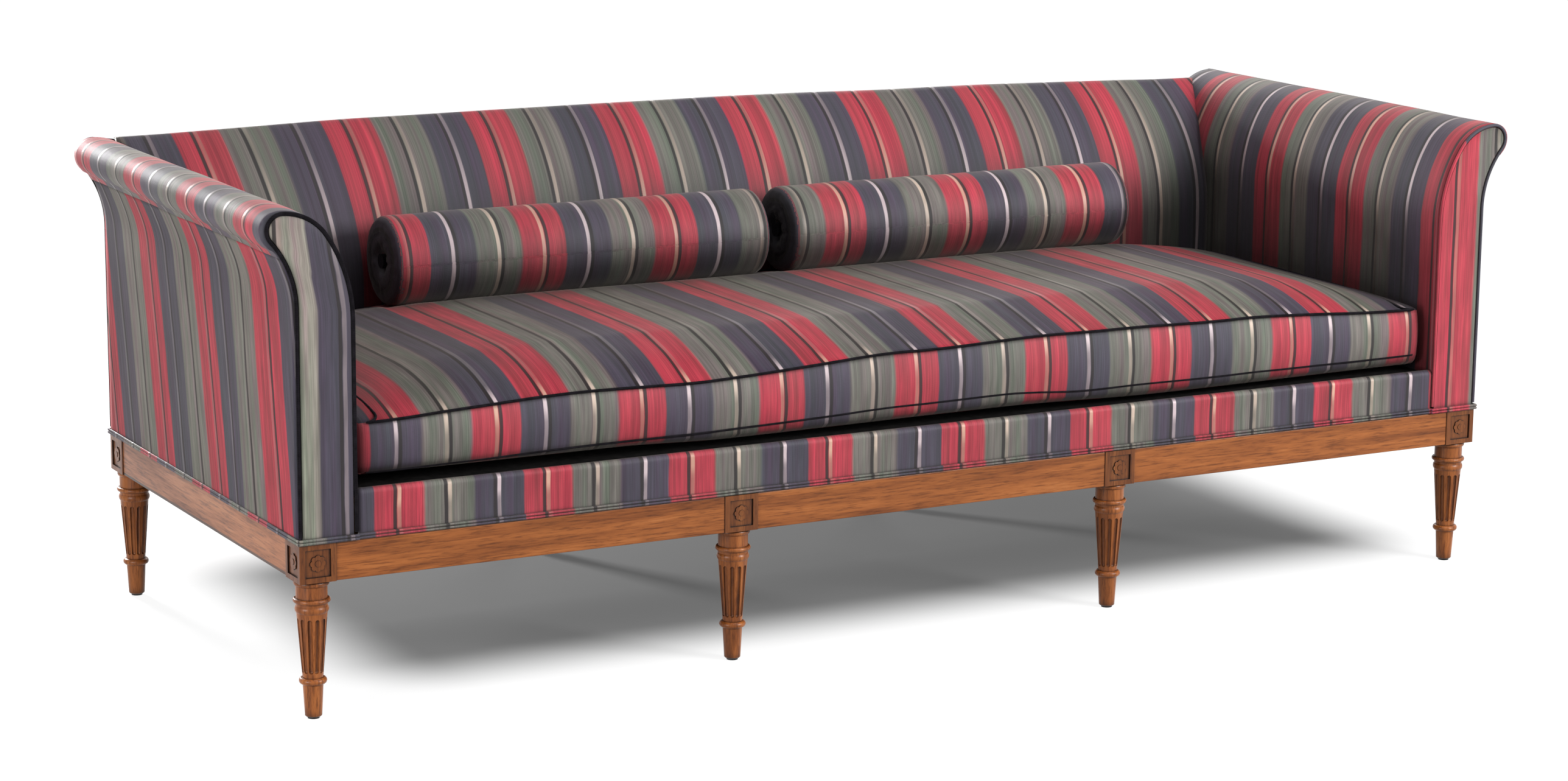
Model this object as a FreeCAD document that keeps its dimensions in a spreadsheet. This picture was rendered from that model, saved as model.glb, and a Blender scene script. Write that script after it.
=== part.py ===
"""Upholstered sofa on a show-wood frame with eight turned and fluted legs.

Millimetres, +X to the right as seen from the front, +Y to the back, +Z up.
The origin is on the floor at the middle of the sofa.
"""
import FreeCAD
import Part
import Sketcher
import os
import re

# Driving sizes. Every word here is an alias in the sheet that the pieces are bound to.
SIZES = [
    # Show-wood frame
    ("leg_spacing", 700),
    ("block_width", 58),
    ("frame_depth", 848),
    ("leg_height", 212),
    ("rail_height", 58),
    ("rail_thickness", 28),
    ("rail_setback", 2),
    ("edge_round", 1.5),
    ("tenon_thickness", 10),
    ("tenon_height", 38),
    ("tenon_length", 24),
    ("joint_clearance", 0.2),
    ("stretcher_height", 46),
    # Corner braces and their screws
    ("brace_reach", 109),
    ("brace_width", 28),
    ("brace_height", 36),
    ("screw_radius", 2),
    ("screw_bite", 17),
    ("screw_seat", 12),
    ("screw_head_radius", 4),
    ("screw_head_height", 3),
    # Turned legs, from the floor up
    ("glide_radius", 9),
    ("glide_height", 3),
    ("foot_radius", 12.8),
    ("ankle_radius", 15.4),
    ("ankle_height", 53),
    ("ankle_ring_height", 10),
    ("ankle_ring_radius", 17),
    ("ankle_bead_radius", 5.2),
    ("shaft_radius", 23),
    ("neck_length", 50),
    ("collar_height", 11),
    ("collar_bead_radius", 8.5),
    ("drum_radius", 23.5),
    ("ring_drop", 34.5),
    ("ring_height", 7),
    ("ring_radius", 25.4),
    ("ring_bead_radius", 3.7),
    ("cap_height", 9),
    ("cap_bead_radius", 4.8),
    ("flute_count", 12),
    ("flute_radius", 3.4),
    ("flute_margin", 11),
    # Carved panels on the leg blocks
    ("panel_width", 40),
    ("panel_height", 42),
    ("panel_depth", 2.5),
    ("petal_count", 8),
    ("petal_radius", 4.2),
    ("petal_ring", 8.2),
    ("petal_rise", 1.6),
    ("rosette_eye_radius", 4.6),
    ("rosette_eye_rise", 2.4),
    # Seat frame and webbing
    ("seat_board_height", 62),
    ("board_thickness", 26),
    ("strap_width", 56),
    ("strap_thickness", 2.5),
    ("straps_per_bay", 5),
    ("long_strap_count", 5),
    ("back_strap_count", 3),
    ("dust_cover_thickness", 1.4),
    ("dust_cover_lap", 12),
    # Upholstered arms
    ("soft_gap", 0.3),
    ("arm_thickness", 93),
    ("top_height", 764),
    ("roll_radius", 27.5),
    ("crown_radius", 84),
    ("crown_angle", 56),
    ("flare_radius", 150),
    ("flare_angle", 41),
    ("seam_angle", 30),
    ("skin_thickness", 20),
    ("end_inset", 5),
    ("facing_thickness", 4.4),
    ("welt_radius", 3.2),
    ("arm_rail_width", 26),
    ("arm_rail_height", 22),
    ("arm_rail_inset", 22),
    ("arm_rail_drop", 24),
    ("base_rail_width", 36),
    # Back
    ("back_depth", 168),
    ("back_top_depth", 16),
    ("back_curve_rise", 244),
    ("upright_depth", 50),
    ("back_skin", 21.7),
    ("top_rail_height", 52),
    ("top_rail_land", 21),
    ("top_rail_bevel", 42),
    ("lower_rail_height", 40),
    ("lower_rail_lift", 15),
    # Seat deck and trim
    ("deck_setback", 3),
    ("deck_skin", 12),
    ("deck_thickness", 16.7),
    ("deck_nose_radius", 22),
    ("trim_thickness", 3.6),
    ("trim_height", 12),
    # Loose cushion
    ("cushion_side_gap", 3),
    ("cushion_setback", 25),
    ("cushion_back_gap", 3),
    ("cushion_end_height", 97.7),
    ("cushion_front_height", 108),
    ("cushion_back_height", 123),
    ("cushion_plateau", 146),
    ("cushion_rear_plateau", 132),
    ("cushion_end_plateau", 104),
    ("cushion_crown", 8),
    ("cushion_front_slope", 120),
    ("cushion_back_slope", 40),
    ("cushion_shoulder", 240),
    ("cushion_draw", 4),
    ("boxing_bulge", 4),
    ("slope_bulge", 7),
    ("end_bulge", 2),
    # Loose bolsters
    ("bolster_radius", 78),
    ("bolster_length", 690),
    ("bolster_gap", 38),
    ("bolster_shift", 9),
    ("bolster_back_gap", 1),
    ("bolster_rest_gap", 0.8),
    ("bolster_corner", 15),
    ("bolster_dimple", 9),
    ("bolster_swell", 2.5),
    ("button_radius", 12),
    ("button_height", 6),
]
ALIASES = {alias for alias, number in SIZES}

DOC = FreeCAD.newDocument("sofa")
NODES = []


def fill_sheet():
    sheet = DOC.addObject("Spreadsheet::Sheet", "Sizes")
    for row, (alias, number) in enumerate(SIZES, start=1):
        sheet.set("A%d" % row, alias.replace("_", " "))
        sheet.set("B%d" % row, str(number))
        sheet.setAlias("B%d" % row, alias)
    DOC.recompute()


def in_sheet(text):
    """The expression with every size's word pointed at its cell."""
    def point(match):
        word = match.group()
        return "Sizes." + word if word in ALIASES else word
    return re.sub(r"[a-z_]+", point, text)


def bind(thing, prop, text):
    thing.setExpression(prop, in_sheet(text))


def value(thing, text):
    return float(thing.evalExpression(in_sheet(text)))


def count(alias):
    return int(value(DOC.Objects[-1], alias))


def keep(thing, label):
    """Name a finished piece and list it as a node."""
    thing.Label = label
    NODES.append(thing)
    return thing


# Sketches and features

def new_body(name):
    return DOC.addObject("PartDesign::Body", name)


def sketch_on(body, role, level="0"):
    """A sketch on one of the body's own planes, moved along the plane's normal."""
    sketch = body.newObject("Sketcher::SketchObject", body.Name + "_sketch")
    planes = [plane for plane in body.Origin.OriginFeatures if plane.Role == role]
    sketch.AttachmentSupport = [(planes[0], "")]
    sketch.MapMode = "FlatFace"
    bind(sketch, "AttachmentOffset.Base.z", level)
    return sketch


def arc_middle(first, last, radius):
    """Middle of the short arc between two points; a positive radius swells to the left."""
    chord = last - first
    half = chord.Length / 2
    rise = abs(radius) - (radius * radius - half * half) ** 0.5
    left = FreeCAD.Vector(-chord.y, chord.x, 0).normalize()
    side = 1 if radius > 0 else -1
    return (first + last) * 0.5 + left * (rise * side)


def fix_point(sketch, edge, end, corner):
    for kind, text in zip(("DistanceX", "DistanceY"), corner):
        rule = sketch.addConstraint(Sketcher.Constraint(kind, -1, 1, edge, end, value(sketch, text)))
        bind(sketch, "Constraints[%d]" % rule, text)


def trace(sketch, corners, bends=None, closed=True):
    """Draw an outline through corners given as pairs of expressions.

    bends maps a corner's number to the radius of the arc that leaves it, written as an
    expression: "+..." swells to the left of the way along the outline and "-..." to the right.
    """
    bends = bends or {}
    points = [FreeCAD.Vector(value(sketch, x), value(sketch, y), 0) for x, y in corners]
    edge_count = len(corners) if closed else len(corners) - 1
    ends = []
    for index in range(edge_count):
        first = points[index]
        last = points[(index + 1) % len(points)]
        if index in bends:
            side = -1 if bends[index].startswith("-") else 1
            size = bends[index].lstrip("+-")
            radius = value(sketch, size)
            curve = Part.Arc(first, arc_middle(first, last, side * radius), last)
            edge = sketch.addGeometry(curve, False)
            rule = sketch.addConstraint(Sketcher.Constraint("Radius", edge, radius))
            bind(sketch, "Constraints[%d]" % rule, size)
        else:
            edge = sketch.addGeometry(Part.LineSegment(first, last), False)
        away = [sketch.getPoint(edge, end).distanceToPoint(first) for end in (1, 2)]
        ends.append((edge, 1, 2) if away[0] < away[1] else (edge, 2, 1))
    for index in range(edge_count):
        edge, start, finish = ends[index]
        fix_point(sketch, edge, start, corners[index])
        if index + 1 < edge_count or closed:
            following, its_start, _ = ends[(index + 1) % edge_count]
            sketch.addConstraint(Sketcher.Constraint("Coincident", edge, finish, following, its_start))
        else:
            fix_point(sketch, edge, finish, corners[index + 1])
    return sketch


def trace_box(sketch, low_x, high_x, low_y, high_y):
    return trace(sketch, [(low_x, low_y), (high_x, low_y), (high_x, high_y), (low_x, high_y)])


def trace_circle(sketch, centre, radius):
    start = FreeCAD.Vector(value(sketch, centre[0]), value(sketch, centre[1]), 0)
    size = value(sketch, radius)
    edge = sketch.addGeometry(Part.Circle(start, FreeCAD.Vector(0, 0, 1), size), False)
    fix_point(sketch, edge, 3, centre)
    rule = sketch.addConstraint(Sketcher.Constraint("Radius", edge, size))
    bind(sketch, "Constraints[%d]" % rule, radius)
    return sketch


def trace_rounded_box(sketch, low_x, high_x, low_y, high_y, radius):
    """A rectangle with rounded corners."""
    corners = [
        ("%s + %s" % (low_x, radius), low_y), ("%s - %s" % (high_x, radius), low_y),
        (high_x, "%s + %s" % (low_y, radius)), (high_x, "%s - %s" % (high_y, radius)),
        ("%s - %s" % (high_x, radius), high_y), ("%s + %s" % (low_x, radius), high_y),
        (low_x, "%s - %s" % (high_y, radius)), (low_x, "%s + %s" % (low_y, radius)),
    ]
    turn = "-" + radius
    return trace(sketch, corners, {1: turn, 3: turn, 5: turn, 7: turn})


def extrude(body, kind, sketch, length, flip=False):
    """Pad along the sketch's normal, or Pocket against it; flip turns either round."""
    feature = body.newObject("PartDesign::" + kind, body.Name + "_" + kind.lower())
    feature.Profile = sketch
    bind(feature, "Length", length)
    feature.Reversed = flip
    return feature


def revolve(body, sketch, axis):
    feature = body.newObject("PartDesign::Revolution", body.Name + "_turning")
    feature.Profile = sketch
    feature.ReferenceAxis = (sketch, [axis])
    feature.Angle = 360
    return feature


def polar(body, feature, axis_sketch, axis, number):
    pattern = body.newObject("PartDesign::PolarPattern", feature.Name + "_ring")
    pattern.Originals = [feature]
    pattern.Axis = (axis_sketch, [axis])
    pattern.Angle = 360
    bind(pattern, "Occurrences", number)
    body.Tip = pattern
    return pattern


def box(low_x, high_x, low_y, high_y, low_z, high_z):
    """A plain board between six planes."""
    board = DOC.addObject("Part::Box", "board")
    for prop, low, high in (("Length", low_x, high_x), ("Width", low_y, high_y), ("Height", low_z, high_z)):
        bind(board, prop, "(%s) - (%s)" % (high, low))
    for axis, low in zip("xyz", (low_x, low_y, low_z)):
        bind(board, "Placement.Base." + axis, low)
    return board


def group(things, label):
    """Separate solids that share one node."""
    bundle = DOC.addObject("Part::Compound", label)
    bundle.Links = things
    return keep(bundle, label)


def mirror(source, label):
    """The same piece on the other end of the sofa."""
    twin = DOC.addObject("Part::Mirroring", label)
    twin.Source = source
    twin.Normal = FreeCAD.Vector(1, 0, 0)
    return keep(twin, label)


# Levels and planes that several pieces share
OUTER_X = "(1.5 * leg_spacing + block_width / 2)"
HALF_DEPTH = "(frame_depth / 2)"
RAIL_TOP = "(leg_height + rail_height)"
RAIL_LINE = "(block_width / 2 - rail_setback - rail_thickness / 2)"
RAIL_INNER_X = "(%s - rail_setback - rail_thickness)" % OUTER_X
RAIL_INNER_Y = "(%s - rail_setback - rail_thickness)" % HALF_DEPTH
TENON_LEVEL = "(leg_height + rail_height / 2)"
LEG_ROW_Y = "(%s - block_width / 2)" % HALF_DEPTH
BAY_LENGTH = "(leg_spacing - block_width)"
END_Y = "(%s - end_inset)" % HALF_DEPTH
ARM_INNER_X = "(%s - arm_thickness)" % OUTER_X
POST_INNER_X = "(%s + skin_thickness + soft_gap)" % ARM_INNER_X
BACK_FACE_Y = "(%s - back_depth)" % HALF_DEPTH
UPRIGHT_FACE_Y = "(%s - upright_depth)" % END_Y
SEAT_BOARD_TOP = "(%s + seat_board_height)" % RAIL_TOP
STRAP_TOP = "(%s + 2 * strap_thickness)" % SEAT_BOARD_TOP
DECK_BOTTOM = "(%s + soft_gap)" % STRAP_TOP
DECK_TOP = "(%s + deck_thickness)" % DECK_BOTTOM
DECK_FRONT_Y = "(deck_setback - %s)" % HALF_DEPTH
BOARD_FRONT_Y = "(%s + deck_skin + soft_gap)" % DECK_FRONT_Y
TOP_RAIL_BOTTOM = "(top_height - back_skin - soft_gap - top_rail_height)"
LOWER_RAIL_BOTTOM = "(%s + lower_rail_lift)" % STRAP_TOP


# Turned legs

def turn_leg(body):
    """Foot, ankle ring, tapered shaft, collar, neck ring and cap as one turning."""
    ankle_top = "ankle_height + ankle_ring_height"
    collar = "leg_height - neck_length"
    ring = "leg_height - ring_drop"
    ring_top = ring + " + ring_height"
    cap = "leg_height - cap_height"
    stub = "leg_height + edge_round"
    corners = [
        ("0", "glide_height"), ("foot_radius - edge_round", "glide_height"),
        ("foot_radius", "glide_height + edge_round"), ("ankle_radius", "ankle_height"),
        ("ankle_ring_radius", "ankle_height"), ("ankle_ring_radius", ankle_top),
        ("ankle_radius", ankle_top), ("shaft_radius", collar),
        ("drum_radius", collar + " + collar_height"), ("drum_radius", ring),
        ("ring_radius", ring), ("ring_radius", ring_top), ("drum_radius", ring_top),
        ("drum_radius", cap), ("drum_radius", "leg_height"), ("drum_radius", stub), ("0", stub),
    ]
    beads = {4: "-ankle_bead_radius", 7: "-collar_bead_radius", 10: "-ring_bead_radius", 13: "-cap_bead_radius"}
    sketch = trace(sketch_on(body, "XZ_Plane"), corners, beads)
    revolve(body, sketch, "V_Axis")
    return sketch


def flute_leg(body, turning):
    """Stopped flutes with round ends down the taper, set in a ring."""
    low_z = "(ankle_height + ankle_ring_height + flute_margin)"
    high_z = "(leg_height - neck_length - flute_margin)"
    taper = "((shaft_radius - ankle_radius) / (leg_height - neck_length - ankle_height - ankle_ring_height))"
    slope = "atan(%s)" % taper
    low_x = "(ankle_radius + flute_margin * %s)" % taper
    high_x = "(shaft_radius - flute_margin * %s)" % taper
    along_x = "flute_radius * sin(%s)" % slope
    along_z = "flute_radius * cos(%s)" % slope
    corners = [
        ("%s - %s" % (low_x, along_x), "%s - %s" % (low_z, along_z)),
        ("%s + %s" % (low_x, along_z), "%s - %s" % (low_z, along_x)),
        ("%s + %s" % (high_x, along_z), "%s - %s" % (high_z, along_x)),
        ("%s + %s" % (high_x, along_x), "%s + %s" % (high_z, along_z)),
    ]
    sketch = trace(sketch_on(body, "XZ_Plane"), corners, {0: "-flute_radius", 2: "-flute_radius"})
    axis_ends = [FreeCAD.Vector(value(sketch, x), value(sketch, z), 0) for x, z in (corners[0], corners[3])]
    axis = sketch.addGeometry(Part.LineSegment(*axis_ends), True)
    sketch.addConstraint(Sketcher.Constraint("Coincident", axis, 1, 3, 2))
    sketch.addConstraint(Sketcher.Constraint("Coincident", axis, 2, 3, 1))
    groove = body.newObject("PartDesign::Groove", body.Name + "_flute")
    groove.Profile = sketch
    groove.ReferenceAxis = (sketch, ["Axis0"])
    groove.Angle = 360
    polar(body, groove, turning, "V_Axis", "flute_count")


# Each side of a leg block: its plane, the way its normal points, and the level of that side.
# A pocket starts against the normal, so it is flipped where that leads out of the block.
SIDES = {
    "left": ("YZ_Plane", "0 - block_width / 2", True),
    "right": ("YZ_Plane", "block_width / 2", False),
    "front": ("XZ_Plane", "block_width / 2", False),
    "back": ("XZ_Plane", "0 - block_width / 2", True),
}


def cut_mortise(body, side, centre):
    role, level, flip = SIDES[side]
    sketch = sketch_on(body, role, level)
    half_width = "(tenon_thickness / 2 + joint_clearance)"
    half_height = "(tenon_height / 2 + joint_clearance)"
    trace_box(sketch, "%s - %s" % (centre, half_width), "%s + %s" % (centre, half_width),
              "%s - %s" % (TENON_LEVEL, half_height), "%s + %s" % (TENON_LEVEL, half_height))
    extrude(body, "Pocket", sketch, "tenon_length + joint_clearance", flip)


def carve_panel(body, side):
    """A sunk square field with a rosette of petals round an eye."""
    role, level, flip = SIDES[side]
    sunk = "%s %s panel_depth" % (level, "+" if flip else "-")
    field = sketch_on(body, role, level)
    trace_box(field, "0 - panel_width / 2", "panel_width / 2", "%s - panel_height / 2" % TENON_LEVEL,
              "%s + panel_height / 2" % TENON_LEVEL)
    extrude(body, "Pocket", field, "panel_depth", flip)
    middle = sketch_on(body, role, sunk)
    bind(middle, "AttachmentOffset.Base.y", TENON_LEVEL)
    trace_circle(middle, ("0", "0"), "rosette_eye_radius")
    extrude(body, "Pad", middle, "rosette_eye_rise", flip)
    petal_sketch = sketch_on(body, role, sunk)
    bind(petal_sketch, "AttachmentOffset.Base.y", TENON_LEVEL)
    trace_circle(petal_sketch, ("0", "petal_ring"), "petal_radius")
    petal = extrude(body, "Pad", petal_sketch, "petal_rise", flip)
    polar(body, petal, petal_sketch, "N_Axis", "petal_count")


def make_leg(label, column, row, mortises, panels):
    """A turned leg with its square block; mortises maps a side to the joint's centre line."""
    body = new_body(label)
    turning = turn_leg(body)
    flute_leg(body, turning)
    block = sketch_on(body, "XY_Plane", "leg_height")
    trace_rounded_box(block, "0 - block_width / 2", "block_width / 2", "0 - block_width / 2",
                      "block_width / 2", "edge_round")
    extrude(body, "Pad", block, "rail_height")
    for side, centre in mortises.items():
        cut_mortise(body, side, centre)
    for side in panels:
        carve_panel(body, side)
    bind(body, "Placement.Base.x", "%g * leg_spacing" % (column - 1.5))
    bind(body, "Placement.Base.y", "%d * %s" % (row, LEG_ROW_Y))
    keep(body, label)


def make_legs():
    names = ("left", "inner_left", "inner_right", "right")
    for row_name, row, inward in (("front", -1, "back"), ("back", 1, "front")):
        rail_centre = "%d * %s" % (row, RAIL_LINE)
        for column, name in enumerate(names):
            mortises = {}
            if column > 0:
                mortises["left"] = rail_centre
            if column < 3:
                mortises["right"] = rail_centre
            side_rail = {0: "0 - " + RAIL_LINE, 3: RAIL_LINE}
            mortises[inward] = side_rail.get(column, "0")
            panels = ["front"] if row_name == "front" else []
            if column in side_rail:
                panels.append(name)
            make_leg("leg_%s_%s" % (row_name, name), column, row, mortises, panels)


def make_glides():
    discs = []
    for column in range(4):
        for row in (-1, 1):
            disc = DOC.addObject("Part::Cylinder", "glide")
            bind(disc, "Radius", "glide_radius")
            bind(disc, "Height", "glide_height")
            bind(disc, "Placement.Base.x", "%g * leg_spacing" % (column - 1.5))
            bind(disc, "Placement.Base.y", "%d * %s" % (row, LEG_ROW_Y))
            discs.append(disc)
    group(discs, "leg_glides")


# Rails, stretchers and corner braces

def section_and_tenons(body, role, centre, height, first, span):
    """A rail's rounded section along its span, with a tenon left at each end."""
    section = sketch_on(body, role, first)
    low_z = "%s - %s / 2" % (TENON_LEVEL, height)
    high_z = "%s + %s / 2" % (TENON_LEVEL, height)
    trace_rounded_box(section, "%s - rail_thickness / 2" % centre, "%s + rail_thickness / 2" % centre,
                      low_z, high_z, "edge_round")
    extrude(body, "Pad", section, span)
    tenon = sketch_on(body, role, "%s - tenon_length" % first)
    trace_box(tenon, "%s - tenon_thickness / 2" % centre, "%s + tenon_thickness / 2" % centre,
              "%s - tenon_height / 2" % TENON_LEVEL, "%s + tenon_height / 2" % TENON_LEVEL)
    extrude(body, "Pad", tenon, "%s + 2 * tenon_length" % span)


BRACE_NEAR = "(brace_reach - brace_width * sqrt(2))"
SCREW_OFFSET = "((brace_reach + %s) / 2)" % BRACE_NEAR


def drill_pilot(body, role, level, along, flip):
    """The hole that a brace screw bites into, from the rail's inner face."""
    hole = trace_circle(sketch_on(body, role, level), (along, TENON_LEVEL), "screw_radius + joint_clearance")
    extrude(body, "Pocket", hole, "screw_bite + joint_clearance", flip)


def make_cross_rails():
    """Three rails along the front and three along the back."""
    for row_name, row in (("front", -1), ("back", 1)):
        centre = "%d * (%s - rail_setback - rail_thickness / 2)" % (row, HALF_DEPTH)
        for bay, bay_name in ((-1, "left"), (0, "middle"), (1, "right")):
            label = "rail_%s_%s" % (row_name, bay_name)
            body = new_body(label)
            first = "%d * leg_spacing - %s / 2" % (bay, BAY_LENGTH)
            section_and_tenons(body, "YZ_Plane", centre, "rail_height", first, BAY_LENGTH)
            if bay:
                along = "%d * (%s - %s)" % (bay, RAIL_INNER_X, SCREW_OFFSET)
                drill_pilot(body, "XZ_Plane", "%d * %s" % (-row, RAIL_INNER_Y), along, row < 0)
            keep(body, label)


def make_side_rails():
    span = "(frame_depth - 2 * block_width)"
    first = "0 - %s / 2" % span
    for name, side in (("left", -1), ("right", 1)):
        body = new_body("rail_" + name)
        centre = "%d * (%s - rail_setback - rail_thickness / 2)" % (side, OUTER_X)
        section_and_tenons(body, "XZ_Plane", centre, "rail_height", first, span)
        for row in (-1, 1):
            along = "%d * (%s - %s)" % (row, RAIL_INNER_Y, SCREW_OFFSET)
            drill_pilot(body, "YZ_Plane", "%d * %s" % (side, RAIL_INNER_X), along, side > 0)
        keep(body, "rail_" + name)


def make_stretchers():
    span = "(frame_depth - 2 * block_width)"
    first = "0 - %s / 2" % span
    for name, side in (("left", -1), ("right", 1)):
        label = "seat_stretcher_" + name
        body = new_body(label)
        section_and_tenons(body, "XZ_Plane", "%d * leg_spacing / 2" % side, "stretcher_height", first, span)
        keep(body, label)


def make_corner_braces():
    """A diagonal block in each corner of the frame, screwed to both rails."""
    braces = []
    for side in (-1, 1):
        for row in (-1, 1):
            body = new_body("corner_brace")
            plan = sketch_on(body, "XY_Plane", "%s - brace_height / 2" % TENON_LEVEL)
            reaches = ((BRACE_NEAR, "0"), ("brace_reach", "0"), ("0", "brace_reach"), ("0", BRACE_NEAR))
            trace(plan, [("%d * (%s - %s)" % (side, RAIL_INNER_X, along_x),
                          "%d * (%s - %s)" % (row, RAIL_INNER_Y, along_y)) for along_x, along_y in reaches])
            extrude(body, "Pad", plan, "brace_height")
            across = "%d * (%s - %s)" % (side, RAIL_INNER_X, SCREW_OFFSET)
            along = "%d * (%s - %s)" % (row, RAIL_INNER_Y, SCREW_OFFSET)
            ways = (("XZ_Plane", -row, RAIL_INNER_Y, across, row > 0),
                    ("YZ_Plane", side, RAIL_INNER_X, along, side < 0))
            for role, sign, face, place, flip in ways:
                for radius, start in (("screw_radius", "0"), ("screw_head_radius", "screw_seat")):
                    hole = sketch_on(body, role, "%d * (%s - %s)" % (sign, face, start))
                    trace_circle(hole, (place, TENON_LEVEL), radius + " + joint_clearance")
                    extrude(body, "Pocket", hole, "brace_reach", flip)
            braces.append(body)
    group(braces, "corner_braces")


def make_brace_screws():
    """Two screws to a brace, each a shank and a head."""
    screws = []
    for side in (-1, 1):
        for row in (-1, 1):
            across = "%d * (%s - %s)" % (side, RAIL_INNER_X, SCREW_OFFSET)
            along = "%d * (%s - %s)" % (row, RAIL_INNER_Y, SCREW_OFFSET)
            ways = (
                (FreeCAD.Vector(0, row, 0), (across, "%d * (%s - screw_seat)" % (row, RAIL_INNER_Y))),
                (FreeCAD.Vector(side, 0, 0), ("%d * (%s - screw_seat)" % (side, RAIL_INNER_X), along)),
            )
            for way, (seat_x, seat_y) in ways:
                rods = []
                for radius, length, heading in (("screw_radius", "screw_seat + screw_bite", way),
                                                ("screw_head_radius", "screw_head_height", way * -1)):
                    rod = DOC.addObject("Part::Cylinder", "screw_rod")
                    bind(rod, "Radius", radius)
                    bind(rod, "Height", length)
                    rod.Placement = FreeCAD.Placement(
                        FreeCAD.Vector(), FreeCAD.Rotation(FreeCAD.Vector(0, 0, 1), heading))
                    for axis, place in zip("xyz", (seat_x, seat_y, TENON_LEVEL)):
                        bind(rod, "Placement.Base." + axis, place)
                    rods.append(rod)
                screw = DOC.addObject("Part::MultiFuse", "screw")
                screw.Shapes = rods
                screws.append(screw)
    group(screws, "corner_brace_screws")


# Seat boards, webbing and dust cover

UPRIGHT_HALF = "(board_thickness / 2)"
# The three gaps across the seat between the arm posts and the back uprights
BAYS = [
    ("0 - " + POST_INNER_X, "0 - leg_spacing / 2 - " + UPRIGHT_HALF),
    ("0 - leg_spacing / 2 + " + UPRIGHT_HALF, "leg_spacing / 2 - " + UPRIGHT_HALF),
    ("leg_spacing / 2 + " + UPRIGHT_HALF, POST_INNER_X),
]
BACK_BOARD_Y = "(%s - rail_setback - rail_thickness)" % END_Y


def make_seat_boards():
    front = box("0 - " + POST_INNER_X, POST_INNER_X, BOARD_FRONT_Y, BOARD_FRONT_Y + " + board_thickness",
                RAIL_TOP, SEAT_BOARD_TOP)
    keep(front, "seat_board_front")
    group([box(low, high, BACK_BOARD_Y, BACK_BOARD_Y + " + board_thickness", RAIL_TOP, SEAT_BOARD_TOP)
           for low, high in BAYS], "seat_boards_back")


def make_webbing():
    """Straps from front to back, then lengthwise straps laid over them, then the back's straps."""
    per_bay = count("straps_per_bay")
    crossing = []
    for low, high in BAYS:
        for index in range(per_bay):
            middle = "%s + (%s - (%s)) * %g" % (low, high, low, (index + 0.5) / per_bay)
            crossing.append(box("%s - strap_width / 2" % middle, "%s + strap_width / 2" % middle,
                                BOARD_FRONT_Y, BACK_BOARD_Y + " + board_thickness / 2",
                                SEAT_BOARD_TOP, SEAT_BOARD_TOP + " + strap_thickness"))
    group(crossing, "seat_webbing_across")

    number = count("long_strap_count")
    near = BOARD_FRONT_Y + " + board_thickness"
    reach = "(%s - skin_thickness - base_rail_width / 2)" % OUTER_X
    lengthwise = []
    for index in range(number):
        middle = "%s + (%s - (%s)) * %g" % (near, UPRIGHT_FACE_Y, near, (index + 0.5) / number)
        lengthwise.append(box("0 - " + reach, reach,
                              "%s - strap_width / 2" % middle, "%s + strap_width / 2" % middle,
                              SEAT_BOARD_TOP + " + strap_thickness", STRAP_TOP))
    group(lengthwise, "seat_webbing_lengthwise")

    number = count("back_strap_count")
    low_z = LOWER_RAIL_BOTTOM + " + lower_rail_height"
    reach = "(%s + board_thickness)" % POST_INNER_X
    upright = []
    for index in range(number):
        middle = "%s + (%s - (%s)) * %g" % (low_z, TOP_RAIL_BOTTOM, low_z, (index + 0.5) / number)
        upright.append(box("0 - " + reach, reach, UPRIGHT_FACE_Y + " - strap_thickness", UPRIGHT_FACE_Y,
                           "%s - strap_width / 2" % middle, "%s + strap_width / 2" % middle))
    group(upright, "back_webbing")


def make_dust_cover():
    """Thin cloth tacked under the rails, cut out round the leg blocks."""
    half_x = "(%s + dust_cover_lap)" % RAIL_INNER_X
    half_y = "(%s + dust_cover_lap)" % RAIL_INNER_Y
    low_z = "leg_height - dust_cover_thickness"
    cloth = box("0 - " + half_x, half_x, "0 - " + half_y, half_y, low_z, "leg_height")
    notches = []
    for column in range(4):
        for row in (-1, 1):
            x = "%g * leg_spacing" % (column - 1.5)
            y = "%d * %s" % (row, LEG_ROW_Y)
            half = "(block_width / 2 + soft_gap)"
            notches.append(box("%s - %s" % (x, half), "%s + %s" % (x, half), "%s - %s" % (y, half),
                               "%s + %s" % (y, half), low_z + " - edge_round", "leg_height + edge_round"))
    cutter = DOC.addObject("Part::Compound", "dust_cover_notches")
    cutter.Links = notches
    cover = DOC.addObject("Part::Cut", "dust_cover")
    cover.Base = cloth
    cover.Tool = cutter
    keep(cover, "dust_cover")


# Arms. The arm's outline is a chain of tangent arcs: a hollow flare up the outside, a small
# round roll, a wide crown over the top and a long easy curve down the inside. Written for the
# left arm, with a distance in from the outline where a piece lies under the skin.
FLARE_START = "(top_height - roll_radius * (1 + sin(flare_angle)) - flare_radius * sin(flare_angle))"
ROLL_X = "(roll_radius * cos(flare_angle) - flare_radius * (1 - cos(flare_angle)))"
ROLL_Z = "(top_height - roll_radius)"
CROWN_Z = "(top_height - crown_radius)"
INNER_RADIUS = "((arm_thickness - %s - crown_radius * sin(crown_angle)) / (1 - sin(crown_angle)))" % ROLL_X
INNER_Z = "(%s + (crown_radius - %s) * cos(crown_angle))" % (CROWN_Z, INNER_RADIUS)


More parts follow.
